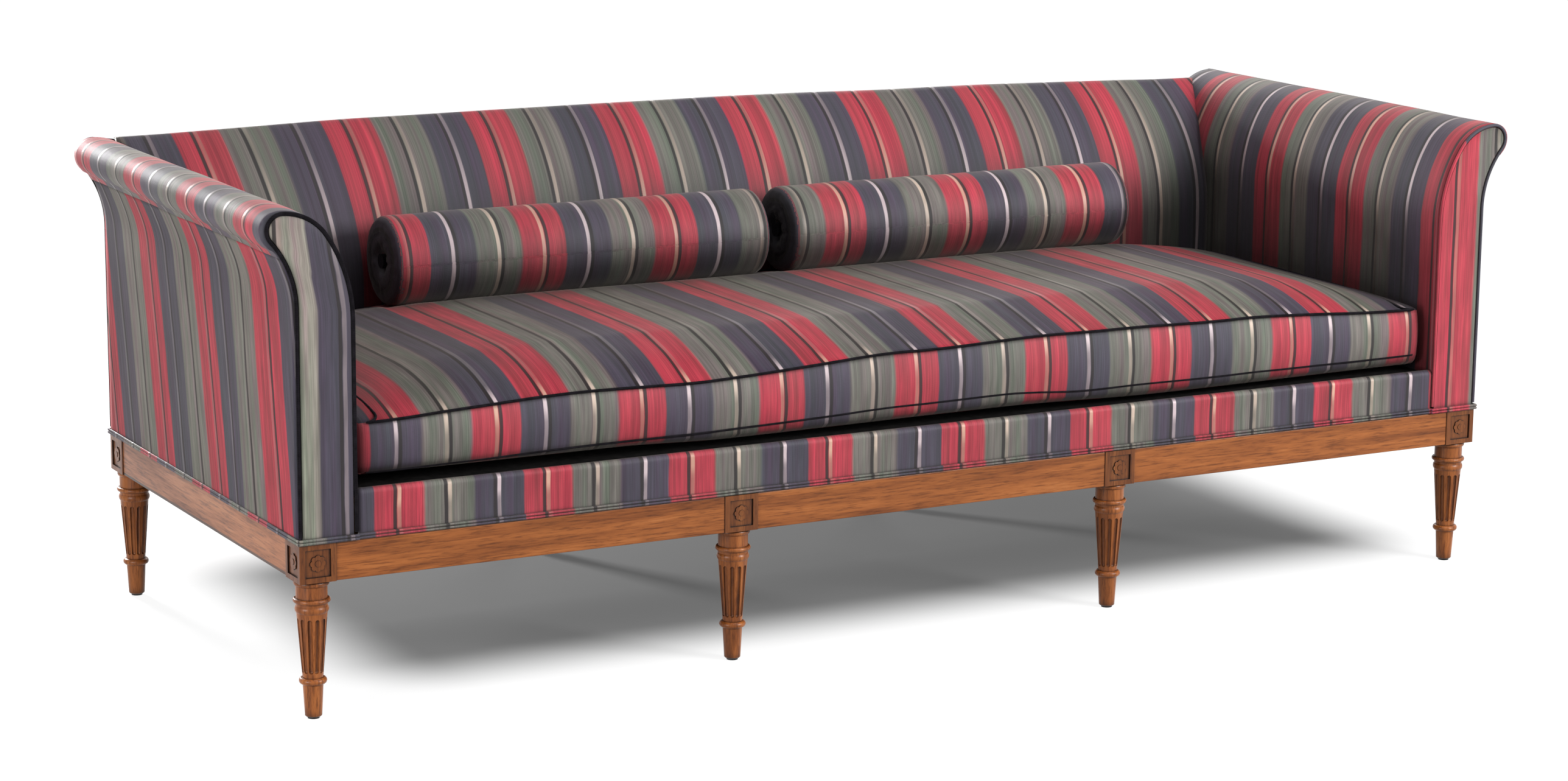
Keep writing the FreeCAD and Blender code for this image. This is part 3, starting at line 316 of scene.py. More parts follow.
def blend_colour(tree, amount, first, second, kind="MIX"):
    """Lay a second colour over a first one."""
    inputs = [(0, amount), (6, first), (7, second)]
    return add(tree, "ShaderNodeMix", inputs, data_type="RGBA", blend_type=kind).outputs[2]


def colour_steps(tree, value, steps, kind="LINEAR"):
    """Turn a value into a colour from a row of places and colours."""
    part = add(tree, "ShaderNodeValToRGB", [(0, value)])
    band = part.color_ramp
    band.interpolation = kind
    while len(band.elements) < len(steps):
        band.elements.new(0.5)
    for element, (place, colour) in zip(band.elements, steps):
        element.position = place
        element.color = colour
    return part.outputs[0]


def new_group(name, inputs, outputs):
    """Start a shared group of nodes with named inputs and outputs."""
    tree = bpy.data.node_groups.new(name, "ShaderNodeTree")
    for label, kind in inputs:
        tree.interface.new_socket(name=label, in_out="INPUT", socket_type=kind)
    for label, kind in outputs:
        tree.interface.new_socket(name=label, in_out="OUTPUT", socket_type=kind)
    way_in = tree.nodes.new("NodeGroupInput")
    way_out = tree.nodes.new("NodeGroupOutput")
    return tree, way_in, way_out


def new_finish(name):
    """Start a material and give back its nodes and its shader."""
    material = bpy.data.materials.new(name)
    material.use_nodes = True
    tree = material.node_tree
    return material, tree, tree.nodes["Principled BSDF"]


def add_bump(tree, shader, height, strength, distance):
    """Let a height show as small relief."""
    bump = add(tree, "ShaderNodeBump", [("Strength", strength), ("Distance", distance), ("Height", height)])
    tree.links.new(bump.outputs[0], shader.inputs["Normal"])


def stretched_place(tree, stretch):
    """The piece's own coordinates, plain and drawn out along one direction."""
    place = add(tree, "ShaderNodeTexCoord").outputs["Object"]
    drawn = add(tree, "ShaderNodeMapping", [(0, place), ("Scale", stretch)])
    return place, drawn.outputs[0]


RED = srgb(186, 62, 76)
GREY_GREEN = srgb(117, 114, 107)
PALE_GREY = srgb(182, 172, 160)
NAVY = srgb(70, 64, 78)
LINE_ON_RED = srgb(232, 186, 162)
LINE_ON_GREY = srgb(230, 206, 188)
LINE_ON_NAVY = srgb(222, 202, 206)
DARK_LINE = srgb(24, 17, 19)


def cloth_noise(tree, across, along, across_scale, along_scale, layer, detail):
    """Unevenness of a cloth, drawn out along its stripes."""
    place = add(tree, "ShaderNodeCombineXYZ", [
        (0, calc(tree, "MULTIPLY", across, across_scale)),
        (1, calc(tree, "MULTIPLY", along, along_scale)),
        (2, layer)])
    inputs = [(0, place.outputs[0]), ("Scale", 1.0), ("Detail", detail)]
    return add(tree, "ShaderNodeTexNoise", inputs).outputs[0]


def make_stripe_group():
    """Red, grey green and navy stripes, each with a satin line and a dark line beside it."""
    tree, way_in, way_out = new_group(
        "striped weave",
        [("Cloth", "NodeSocketVector"), ("Red place", "NodeSocketFloat"), ("Order", "NodeSocketFloat"),
         ("Paleness", "NodeSocketFloat")],
        [("Colour", "NodeSocketColor"), ("Roughness", "NodeSocketFloat"), ("Height", "NodeSocketFloat")])
    parts = add(tree, "ShaderNodeSeparateXYZ", [(0, way_in.outputs["Cloth"])])
    across, along, painted_line_sheen = parts.outputs
    threads = cloth_noise(tree, across, along, 620.0, 9.0, 0.0, 3.0)
    slubs = cloth_noise(tree, across, along, 60.0, 14.0, 3.7, 2.0)
    tints = cloth_noise(tree, across, along, 75.0, 1.5, 8.1, 1.0)
    bands = cloth_noise(tree, across, along, 150.0, 3.0, 5.3, 2.0)
    sway = calc(tree, "MULTIPLY", calc(tree, "SUBTRACT", slubs, 0.5), 0.0035)
    from_red = calc(tree, "MULTIPLY", calc(tree, "SUBTRACT", across, way_in.outputs["Red place"]),
                    way_in.outputs["Order"])
    from_red = calc(tree, "ADD", from_red, sway)
    step = calc(tree, "ADD", calc(tree, "MULTIPLY", from_red, 1.0 / STRIPE_PITCH), 0.5)
    third = calc(tree, "FRACT", calc(tree, "MULTIPLY", step, 1.0 / 3.0))
    edge = 0.010
    ground = colour_steps(tree, third, [
        (0.0, NAVY), (edge, RED), (0.3333 - edge, RED), (0.3333 + edge, GREY_GREEN),
        (0.6667 - edge, GREY_GREEN), (0.6667 + edge, NAVY), (1.0, NAVY)])
    grey_only = calc(tree, "MULTIPLY", ramp_between(tree, third, 0.32, 0.345),
                     ramp_between(tree, third, 0.655, 0.68, 1.0, 0.0))
    pale = calc(tree, "MULTIPLY", grey_only, way_in.outputs["Paleness"])
    ground = blend_colour(tree, pale, ground, PALE_GREY)
    from_line = calc(tree, "MULTIPLY", calc(tree, "SUBTRACT", calc(tree, "FRACT", step), 0.5), STRIPE_PITCH)
    cream_reach = calc(tree, "ABSOLUTE", calc(tree, "SUBTRACT", from_line, 0.001))
    cream = ramp_between(tree, cream_reach, 0.0022, 0.0040, 1.0, 0.0)
    dark_reach = calc(tree, "ABSOLUTE", calc(tree, "ADD", from_line, 0.0057))
    dark = ramp_between(tree, dark_reach, 0.0020, 0.0037, 1.0, 0.0)
    tint = colour_steps(tree, tints, [
        (0.30, srgb(226, 253, 236)), (0.50, srgb(255, 255, 255)), (0.70, srgb(255, 226, 246))])
    ground = blend_colour(tree, 0.75, ground, tint, "MULTIPLY")
    band = ramp_between(tree, bands, 0.3, 0.7, 0.82, 1.14)
    streak = ramp_between(tree, threads, 0.3, 0.7, 0.74, 1.18)
    patch = ramp_between(tree, slubs, 0.3, 0.75, 0.86, 1.10)
    for unevenness in (band, streak, patch):
        ground = blend_colour(tree, 1.0, ground, unevenness, "MULTIPLY")
    # The satin line where it gets no painted sheen: the ground's colour darkened, as in shade.
    shaded = blend_colour(tree, 0.22, ground, DARK_LINE)
    ground = blend_colour(tree, calc(tree, "MULTIPLY", dark, 0.94), ground, DARK_LINE)
    # Painted sheen on the satin line: patchy, a little stronger on navy, as strong as the piece's painted
    # sheen allows.
    satin = ramp_between(tree, slubs, 0.35, 0.65, 0.7, 1.0)
    on_navy = ramp_between(tree, third, 0.65, 0.68, 1.0, 1.3)
    painted_sheen = calc(tree, "MULTIPLY", calc(tree, "MULTIPLY", satin, painted_line_sheen), on_navy)
    line_thread = colour_steps(tree, third, [
        (0.0, LINE_ON_RED), (0.3333, LINE_ON_GREY), (0.6667, LINE_ON_NAVY)], "CONSTANT")
    line_colour = blend_colour(tree, calc(tree, "MINIMUM", painted_sheen, 1.0), shaded, line_thread)
    colour = blend_colour(tree, cream, ground, line_colour)
    tree.links.new(colour, way_out.inputs["Colour"])
    rough = ramp_between(tree, cream, 0.0, 1.0, 0.62, 0.42)
    tree.links.new(rough, way_out.inputs["Roughness"])
    ribs = calc(tree, "SINE", calc(tree, "MULTIPLY", along, 4200.0))
    height = calc(tree, "ADD", threads, calc(tree, "MULTIPLY", ribs, 0.12))
    height = calc(tree, "ADD", height, calc(tree, "MULTIPLY", cream, 0.4))
    tree.links.new(height, way_out.inputs["Height"])
    return tree


STRIPES = make_stripe_group()


def striped_cloth(name, red_place, order, paleness=0.0, gloss=0.40):
    """Striped cloth cut for one piece: where a red stripe's line falls, and which way the colours run."""
    material, tree, shader = new_finish(name)
    cloth = add(tree, "ShaderNodeAttribute", attribute_name="cloth")
    weave = add(tree, "ShaderNodeGroup", node_tree=STRIPES)
    tree.links.new(cloth.outputs["Vector"], weave.inputs["Cloth"])
    weave.inputs["Red place"].default_value = red_place
    weave.inputs["Order"].default_value = order
    weave.inputs["Paleness"].default_value = paleness
    # Painted shade: the colour darkens in corners and under neighbouring parts, where shade falls.
    corner = add(tree, "ShaderNodeAmbientOcclusion", [("Distance", 0.26)], samples=6)
    painted_corner_shade = ramp_between(tree, corner.outputs["AO"], 0.42, 0.96, 0.28, 1.0)
    colour = blend_colour(tree, 1.0, weave.outputs["Colour"], painted_corner_shade, "MULTIPLY")
    tree.links.new(colour, shader.inputs["Base Color"])
    tree.links.new(weave.outputs["Roughness"], shader.inputs["Roughness"])
    add_bump(tree, shader, weave.outputs["Height"], 0.35, 0.0006)
    shader.inputs["Sheen Weight"].default_value = 0.22
    shader.inputs["Sheen Roughness"].default_value = 0.45
    shader.inputs["Sheen Tint"].default_value = srgb(205, 195, 185)
    shader.inputs["Specular IOR Level"].default_value = gloss
    return material


def make_grain_group():
    """Fine pores and broad figure of a polished hardwood."""
    tree, way_in, way_out = new_group(
        "hardwood grain", [("Place", "NodeSocketVector")],
        [("Figure", "NodeSocketFloat"), ("Pores", "NodeSocketFloat")])
    place = way_in.outputs["Place"]
    broad = add(tree, "ShaderNodeTexNoise", [
        (0, place), ("Scale", 1.0), ("Detail", 5.0), ("Roughness", 0.6), ("Distortion", 0.6)])
    fine = add(tree, "ShaderNodeTexNoise", [
        (0, place), ("Scale", 7.0), ("Detail", 4.0), ("Roughness", 0.7)])
    figure = calc(tree, "ADD", calc(tree, "MULTIPLY", broad.outputs[0], 0.7),
                  calc(tree, "MULTIPLY", fine.outputs[0], 0.3))
    tree.links.new(figure, way_out.inputs["Figure"])
    pores = ramp_between(tree, fine.outputs[0], 0.34, 0.50, 1.0, 0.0)
    tree.links.new(pores, way_out.inputs["Pores"])
    return tree


GRAIN = make_grain_group()
WOOD_STEPS = [(0.30, srgb(97, 49, 22)), (0.46, srgb(147, 84, 42)), (0.58, srgb(177, 105, 54)),
              (0.72, srgb(200, 130, 76))]
WOOD_PORES = srgb(64, 28, 10)
# Colour the show wood darkens towards: dirt and painted shade in hollows, painted shade on the leg blocks,
# a dark band along the side rails' lower edge.
WOOD_DARKENING = srgb(30, 15, 9)


def polished_wood(name, stretch, shaded=(1.0, 1.002), depth=0.0):
    """Reddish brown show wood, its grain drawn along one direction, darkened between two heights."""
    material, tree, shader = new_finish(name)
    place, drawn = stretched_place(tree, stretch)
    grain = add(tree, "ShaderNodeGroup", node_tree=GRAIN)
    tree.links.new(drawn, grain.inputs["Place"])
    colour = colour_steps(tree, grain.outputs["Figure"], WOOD_STEPS)
    pores = calc(tree, "MULTIPLY", grain.outputs["Pores"], 0.45)
    colour = blend_colour(tree, pores, colour, WOOD_PORES)
    hollow = add(tree, "ShaderNodeAmbientOcclusion", [("Distance", 0.022)], samples=8)
    height = add(tree, "ShaderNodeSeparateXYZ", [(0, place)]).outputs[2]
    low, high = shaded
    # Band between two heights that darkens: painted shade on the leg blocks, a dark band along the side
    # rails' lower edge.
    inside = calc(tree, "MULTIPLY", ramp_between(tree, height, low - 0.002, low),
                  ramp_between(tree, height, high, high + 0.002, 1.0, 0.0))
    colour = blend_colour(tree, calc(tree, "MULTIPLY", inside, depth), colour, WOOD_DARKENING)
    # Darkening in hollows, flutes and turned grooves from ambient occlusion: partly dirt, partly painted
    # shade, stronger inside the band.
    dirt_and_shade = ramp_between(tree, hollow.outputs["AO"], 0.35, 0.97, 0.82, 0.0)
    dirt_and_shade = calc(tree, "MINIMUM", calc(tree, "MULTIPLY", dirt_and_shade, calc(tree, "ADD", inside, 1.0)), 0.95)
    colour = blend_colour(tree, dirt_and_shade, colour, WOOD_DARKENING)
    tree.links.new(colour, shader.inputs["Base Color"])
    rough = ramp_between(tree, grain.outputs["Figure"], 0.3, 0.7, 0.42, 0.30)
    tree.links.new(rough, shader.inputs["Roughness"])
    add_bump(tree, shader, grain.outputs["Figure"], 0.15, 0.0008)
    shader.inputs["Coat Weight"].default_value = 0.06
    shader.inputs["Coat Roughness"].default_value = 0.25
    shader.inputs["Specular IOR Level"].default_value = 0.26
    return material


def speckled(name, dark, light, scale, roughness, metal=0.0, stretch=(1, 1, 1)):
    """A plain finish with the small unevenness that it really has."""
    material, tree, shader = new_finish(name)
    drawn = stretched_place(tree, stretch)[1]
    specks = add(tree, "ShaderNodeTexNoise", [(0, drawn), ("Scale", scale), ("Detail", 4.0)])
    colour = colour_steps(tree, specks.outputs[0], [(0.32, dark), (0.68, light)])
    tree.links.new(colour, shader.inputs["Base Color"])
    rough = ramp_between(tree, specks.outputs[0], 0.3, 0.7, roughness + 0.08, roughness - 0.08)
    tree.links.new(rough, shader.inputs["Roughness"])
    add_bump(tree, shader, specks.outputs[0], 0.25, 0.0006)
    shader.inputs["Metallic"].default_value = metal
    return material


def woven(name, dark, light, threads, roughness):
    """A plain weave of crossed threads."""
    material, tree, shader = new_finish(name)
    place = add(tree, "ShaderNodeTexCoord")
    parts = add(tree, "ShaderNodeSeparateXYZ", [(0, place.outputs["Object"])])
    waves = []
    for part in parts.outputs:
        waves.append(calc(tree, "SINE", calc(tree, "MULTIPLY", part, threads)))
    crossed = calc(tree, "ADD", calc(tree, "MULTIPLY", waves[0], waves[1]), waves[2])
    dust = add(tree, "ShaderNodeTexNoise", [(0, place.outputs["Object"]), ("Scale", 90.0), ("Detail", 4.0)])
    value = calc(tree, "ADD", calc(tree, "MULTIPLY", crossed, 0.12), dust.outputs[0])
    colour = colour_steps(tree, value, [(0.25, dark), (0.75, light)])
    tree.links.new(colour, shader.inputs["Base Color"])
    add_bump(tree, shader, value, 0.3, 0.0005)
    shader.inputs["Roughness"].default_value = roughness
    shader.inputs["Specular IOR Level"].default_value = 0.08
    return material


RAIL_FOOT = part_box("rail_left")[0].z
RAIL_LOWER_EDGE = (0.0, RAIL_FOOT + 0.004)
LEG_BLOCK = (RAIL_FOOT, RAIL_TOP)
WOOD_ALONG_X = polished_wood("show wood, grain along the length", (3.0, 45.0, 45.0))
# The side rails darken along their lower edge; the leg blocks get painted shade between the rail's foot and
# top.
WOOD_ALONG_Y = polished_wood("show wood, grain along the depth", (45.0, 3.0, 45.0), RAIL_LOWER_EDGE, 0.85)
WOOD_UPRIGHT = polished_wood("show wood, grain upright", (45.0, 45.0, 4.0), LEG_BLOCK, 0.46)
FRAME_WOOD = speckled("sawn frame wood", srgb(170, 135, 95), srgb(205, 172, 128), 1.0, 0.7,
                      stretch=(8, 60, 60))
WELT_CLOTH = woven("dark welt cloth", srgb(12, 10, 13), srgb(34, 31, 36), 2400.0, 0.90)
DUST_CLOTH = woven("black dust cloth", srgb(16, 15, 15), srgb(40, 38, 37), 1800.0, 0.95)
JUTE = woven("jute webbing", srgb(138, 108, 70), srgb(186, 156, 110), 1500.0, 0.95)
SCREW_STEEL = speckled("screw steel", srgb(120, 118, 112), srgb(168, 165, 160), 400.0, 0.4, metal=1.0)
GLIDE_METAL = speckled("blackened glide", srgb(18, 17, 17), srgb(46, 42, 40), 500.0, 0.5, metal=0.6)


def dress_node(names, material):
    """Give CAD nodes their finish."""
    for name in names:
        slots = NODES[name].data.materials
        slots.clear()
        slots.append(material)


def nodes_named(*starts):
    """CAD nodes whose names start in one of these ways."""
    return [name for name in NODES if name.startswith(starts)]


dress_node(nodes_named("rail_front", "rail_back"), WOOD_ALONG_X)
dress_node(("rail_left", "rail_right"), WOOD_ALONG_Y)
dress_node([name for name in nodes_named("leg_") if name != "leg_glides"], WOOD_UPRIGHT)
dress_node(("leg_glides",), GLIDE_METAL)
dress_node(nodes_named("seat_stretcher", "corner_braces", "seat_board", "arm_front_post",
                       "arm_rear_post", "arm_top_rail", "arm_base_rail", "back_upright",
                       "back_top_rail", "back_lower_rails"), FRAME_WOOD)
dress_node(nodes_named("seat_webbing", "back_webbing"), JUTE)
dress_node(("corner_brace_screws",), SCREW_STEEL)


def arm_x(u, side):
    """Place along the sofa of a distance in from an arm's outside wall."""
    return side * (OUTER_X - u)


def arc(degrees, u, z, steps, side):
    """Sweep the selection round a centre of the arm's outline, the same way on both sides."""
    bpy.ops.mesh.spin(steps=steps, angle=math.radians(degrees) * -side,
                      center=(arm_x(u, side), 0.0, z), axis=(0, 1, 0))


def inner_reach(z):
    """How far in from the outside wall the arm's inside face stands at a height."""
    if z <= INSIDE_Z:
        return ARM_THICKNESS
    crown_foot = CROWN_Z + CROWN_RADIUS * math.sin(math.radians(INSIDE_ANGLE))
    if z <= crown_foot:
        return INSIDE_U + math.sqrt(INSIDE_RADIUS ** 2 - (z - INSIDE_Z) ** 2)
    return ROLL_U + math.sqrt(max(CROWN_RADIUS ** 2 - (z - CROWN_Z) ** 2, 0.0))


def sewn_on(piece, body, slot, *nodes):
    """Say which body a piece rides on and which CAD nodes it stands for, hiding them; the slot is not used.
    """
    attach(piece, body)
    if nodes:
        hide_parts(*nodes)


def padded_cover(piece, body, fill, *nodes):
    """Say the same of a stuffed cover; how full it is, the fill, is not used."""
    sewn_on(piece, body, "striped_cover", *nodes)


# Arms

ARM_CLOTH = {"left": (-0.104, 1.0), "right": (-0.170, -1.0)}
ARM_OUTSIDE_RED = -0.046
ROLL_LIP = 0.0045


def make_arm_pad(word, side):
    """Inside of an arm and its roll, swept over the outline from the deck to the seam under the roll."""
    height = INSIDE_Z - DECK_BOTTOM
    pad = add_wall("arm_cover_" + word, (arm_x(ARM_THICKNESS, side), 0.0, DECK_BOTTOM + height / 2),
                   (height, 2 * END_Y), (26, 84), (0.0, math.radians(90), 0.0))
    shape(pad)
    pick(lambda co: co.z > INSIDE_Z - 0.0004)
    arc(INSIDE_ANGLE, INSIDE_U, INSIDE_Z, 16, side)
    arc(CROWN_ANGLE, ROLL_U, CROWN_Z, 12, side)
    arc(ROLL_ANGLE, ROLL_U, ROLL_Z, 20, side)
    arc(SEAM_ANGLE - FLARE_ANGLE, FLARE_U, FLARE_Z, 4, side)
    pull(x=-side * 0.006, z=-0.001)
    core = Vector((arm_x(ARM_THICKNESS / 2, side), 0.0, 0.66))
    settle(pad, lambda co: Vector((co.x - core.x, 0.0, co.z - core.z)))
    centre = Vector((arm_x(ROLL_U, side), 0.0, ROLL_Z))
    for point in pad.data.vertices:
        away = Vector((point.co.x - centre.x, 0.0, point.co.z - centre.z))
        turn = math.degrees(math.atan2(away.z, -side * away.x)) % 360
        if 90 < turn < 262 and away.length < 0.06:
            point.co += away.normalized() * ROLL_LIP * ease((turn - 95) / 80) * ease((256 - turn) / 22)
    pad.data.update()
    soften(pad, 0.0016, 0.14, 3.0 + side, lambda co: ease((END_Y - abs(co.y)) / 0.06))
    thicken(pad, PAD_WALL)

    # Painted sheen on the satin lines by which way the cloth faces: a little on the outward face, more
    # where it faces out and up; on the inside face mostly high up, none at the front edge.
    def painted_line_sheen(co, normal):
        if side * normal.x > 0:
            return 0.15 + 0.35 * ease(side * normal.x) * ease(normal.z + 0.4)
        upper = ease((co.z - 0.56) / 0.10) * ease((0.775 - co.z) / 0.03)
        return ease((co.y + 0.403) / 0.01) * (0.12 + 0.75 * upper)

    lay_cloth(pad, lambda co: co.y, lambda co: co.z - side * co.x, painted_line_sheen)
    pad.data.materials.append(striped_cloth("striped cloth, %s arm" % word, *ARM_CLOTH[word]))
    padded_cover(pad, "frame", 0.8, "arm_pad_" + word)


def make_arm_outside(word, side):
    """Outside panel of an arm, from the rail up into the hollow under the roll."""
    height = FLARE_Z - RAIL_TOP
    panel = add_wall("arm_outside_cover_" + word, (arm_x(0.0, side), 0.0, RAIL_TOP + height / 2),
                     (height, 2 * END_Y), (34, 84), (0.0, math.radians(90), 0.0))
    shape(panel)
    pick(lambda co: co.z > FLARE_Z - 0.0004)
    arc(SEAM_ANGLE, FLARE_U, FLARE_Z, 10, side)
    settle(panel, lambda co: Vector((side, 0.0, 0.0)))
    soften(panel, 0.0012, 0.18, 6.0 + side, lambda co: ease((END_Y - abs(co.y)) / 0.06))
    for point in panel.data.vertices:
        point.co.x -= side * 0.0016 * ease((point.co.z - 0.672) / 0.02)
    thicken(panel, PANEL_WALL)

    def across(co):
        lean = (0.20 - 0.09 * ease((-0.10 - co.y) / 0.15)) * (co.z - 0.55)
        spread = 0.25 * max(-0.22 - co.y, 0.0)
        return co.y + spread - (lean if word == "left" else 0.0)

    # The outside panel's satin lines get little painted sheen.
    lay_cloth(panel, across, lambda co: co.z, lambda co, normal: 0.06)
    panel.data.materials.append(
        striped_cloth("striped cloth, %s arm outside" % word, ARM_OUTSIDE_RED, 1.0, 0.10, 0.15))
    padded_cover(panel, "frame", 0.9, "arm_outside_" + word)


def trace_arm(name, inset, y, side, foot):
    """Path round the front of an arm, from the foot outside, over the roll, to the foot inside."""
    path = add_point(name, (arm_x(inset, side), y, foot))
    pull(z=FLARE_Z - foot)
    arc(FLARE_ANGLE, FLARE_U, FLARE_Z, 12, side)
    arc(-ROLL_ANGLE, ROLL_U, ROLL_Z, 20, side)
    arc(-CROWN_ANGLE, ROLL_U, CROWN_Z, 12, side)
    arc(-INSIDE_ANGLE, INSIDE_U, INSIDE_Z, 12, side)
    pull(z=foot - INSIDE_Z)
    return path


FACING_RED = {"left": -1.166, "right": 1.026}
FACING_PALENESS = {"left": 0.5, "right": 0.0}


def make_arm_front(word, side):
    """Front facing of an arm, a thin pad in the arm's outline, and the welt round it."""
    facing = trace_arm("arm_facing_cover_" + word, 0.0067, -END_Y - 0.0003, side, RAIL_TOP)
    bpy.ops.mesh.select_all(action="SELECT")
    bpy.ops.mesh.edge_face_add()
    pull(y=-0.0030)
    pick_faces(lambda middle, normal: middle.y < -END_Y - 0.0030 and abs(normal.y) > 0.9)
    bpy.ops.mesh.inset(thickness=0.003, depth=0.0010)
    bpy.ops.mesh.inset(thickness=0.006, depth=0.0006)
    settle(facing, lambda co: Vector((0.0, co.y + END_Y + 0.0015, 0.0)))
    lean = 0.018 if word == "left" else 0.0
    # The facing's satin lines get a little painted sheen.
    lay_cloth(facing, lambda co: co.x + lean * ease((co.z - 0.60) / 0.14),
              lambda co: co.z, lambda co, normal: 0.22)
    facing.data.materials.append(
        striped_cloth("striped cloth, %s facing" % word, FACING_RED[word], 1.0, FACING_PALENESS[word]))
    padded_cover(facing, "frame", 0.9, "arm_facing_" + word)
    seam = trace_arm("arm_welt_cord_" + word, WELT_RADIUS, -END_Y - 0.0035, side, TRIM_TOP)
    welt = cord_along(seam, WELT_RADIUS)
    if word == "right":
        # No painted sheen on the welt's satin lines.
        lay_cloth(welt, lambda co: FACING_RED[word] + 0.022 + 0.040 * ease((co.x - 1.03) / 0.01),
                  lambda co: co.z, lambda co, normal: 0.0)
        welt.data.materials.append(striped_cloth("striped cloth, right welt", FACING_RED[word], -1.0))
    else:
        welt.data.materials.append(WELT_CLOTH)
    sewn_on(welt, "frame", "welt_cord", "arm_welt_" + word)


# Back

BACK_RED = 0.073
BACK_LIFTS = ((-1.05, -0.002), (-0.60, 0.005), (0.0, 0.005), (0.55, -0.003), (1.05, -0.014))


def read_off(levels, x):
    """A level along the sofa's length, eased from one measured place to the next."""
    for (left, low), (right, high) in zip(levels, levels[1:]):
        if x <= right:
            return low + (high - low) * ease((x - left) / (right - left))
    return levels[-1][1]


def back_lift(x):
    """How far the top of the stuffed back stands above or below level along its length."""
    return read_off(BACK_LIFTS, x)


def make_back():
    """Inside back, upright from the deck and rolled back at the top, its ends fitted to the arms."""
    height = BACK_TURN_Z - DECK_BOTTOM
    pad = add_wall("back_cover", (0.0, BACK_FACE_Y, DECK_BOTTOM + height / 2), (2 * BACK_HALF, height),
                   (196, 18), (math.radians(90), 0.0, 0.0))
    shape(pad)
    pick(lambda co: co.z > BACK_TURN_Z - 0.0004)
    turn = math.atan2(BACK_TOP_Z - BACK_TURN_Z, BACK_CENTRE_Y - BACK_TOP_Y)
    bpy.ops.mesh.spin(steps=30, angle=turn, center=(0.0, BACK_CENTRE_Y, BACK_TURN_Z), axis=(1, 0, 0))
    pull(y=END_Y - BACK_TOP_Y)
    pull(z=-0.010)
    settle(pad, lambda co: Vector((0.0, -1.0, 0.3)))
    for point in pad.data.vertices:
        end = OUTER_X - inner_reach(point.co.z) - 0.0004
        point.co.x *= min(end, BACK_REACH) / BACK_HALF
        rise = ease((point.co.z - 0.56) / (BACK_TOP_Z - 0.56))
        point.co.z += rise * back_lift(point.co.x)
    pad.data.update()
    soften(pad, 0.0024, 0.20, 11.0,
           lambda co: ease((0.98 - abs(co.x)) / 0.08) * ease((0.80 - co.z) / 0.06))
    thicken(pad, PAD_WALL)
    # Painted sheen on the satin lines: strong low on the back, weaker towards the rolled top.
    lay_cloth(pad, lambda co: co.x + 0.030 * ease((-0.50 - co.x) / 0.45) * ease((co.z - 0.50) / 0.25),
              lambda co: co.z - co.y, lambda co, normal: 0.80 - 0.60 * ease((co.z - 0.60) / 0.14))
    pad.data.materials.append(striped_cloth("striped cloth, inside back", BACK_RED, 1.0))
    padded_cover(pad, "frame", 0.8, "back_pad")


def trace_back(name, inset, y, foot):
    """Path round the outside back: up one end, along the top and down the other end."""
    path = add_point(name, (arm_x(inset, -1), y, foot))
    pull(z=FLARE_Z - foot)
    arc(FLARE_ANGLE, FLARE_U, FLARE_Z, 12, -1)
    arc(-ROLL_ANGLE, ROLL_U, ROLL_Z, 20, -1)
    pull(x=2 * (OUTER_X - ROLL_U))
    arc(ROLL_ANGLE, ROLL_U, ROLL_Z, 20, 1)
    arc(-FLARE_ANGLE, FLARE_U, FLARE_Z, 12, 1)
    pull(z=foot - FLARE_Z)
    divide_long_edges(1.5, 40)
    mesh = bmesh.from_edit_mesh(path.data)
    for point in mesh.verts:
        reach = ease((1.09 - abs(point.co.x)) / 0.06) * ease((point.co.z - 0.70) / 0.04)
        point.co.z += reach * (min(back_lift(point.co.x), 0.0) - 0.007)
    bmesh.update_edit_mesh(path.data)
    return path


def make_back_outside():
    """Flat outside back with its welt."""
    panel = trace_back("back_outside_cover", 0.0067, END_Y + 0.0003, RAIL_TOP)
    bpy.ops.mesh.select_all(action="SELECT")
    bpy.ops.mesh.edge_face_add()
    pull(y=0.0030)
    pick_faces(lambda middle, normal: middle.y > END_Y + 0.0030 and abs(normal.y) > 0.9)
    bpy.ops.mesh.inset(thickness=0.004, depth=0.0010)
    bpy.ops.mesh.inset(thickness=0.008, depth=0.0004)
    settle(panel, lambda co: Vector((0.0, co.y - END_Y - 0.0015, 0.0)))
    # The outside back's satin lines get a fixed painted sheen.
    lay_cloth(panel, lambda co: co.x, lambda co: co.z, lambda co, normal: 0.8)
    panel.data.materials.append(striped_cloth("striped cloth, outside back", BACK_RED, 1.0))
    padded_cover(panel, "frame", 0.95, "back_outside")
    seam = trace_back("back_welt_cord", WELT_RADIUS, END_Y + 0.0035, TRIM_TOP)
    welt = cord_along(seam, WELT_RADIUS)
    welt.data.materials.append(WELT_CLOTH)
    sewn_on(welt, "frame", "welt_cord", "back_welt")


# Deck and trim

DECK_RED = 0.050


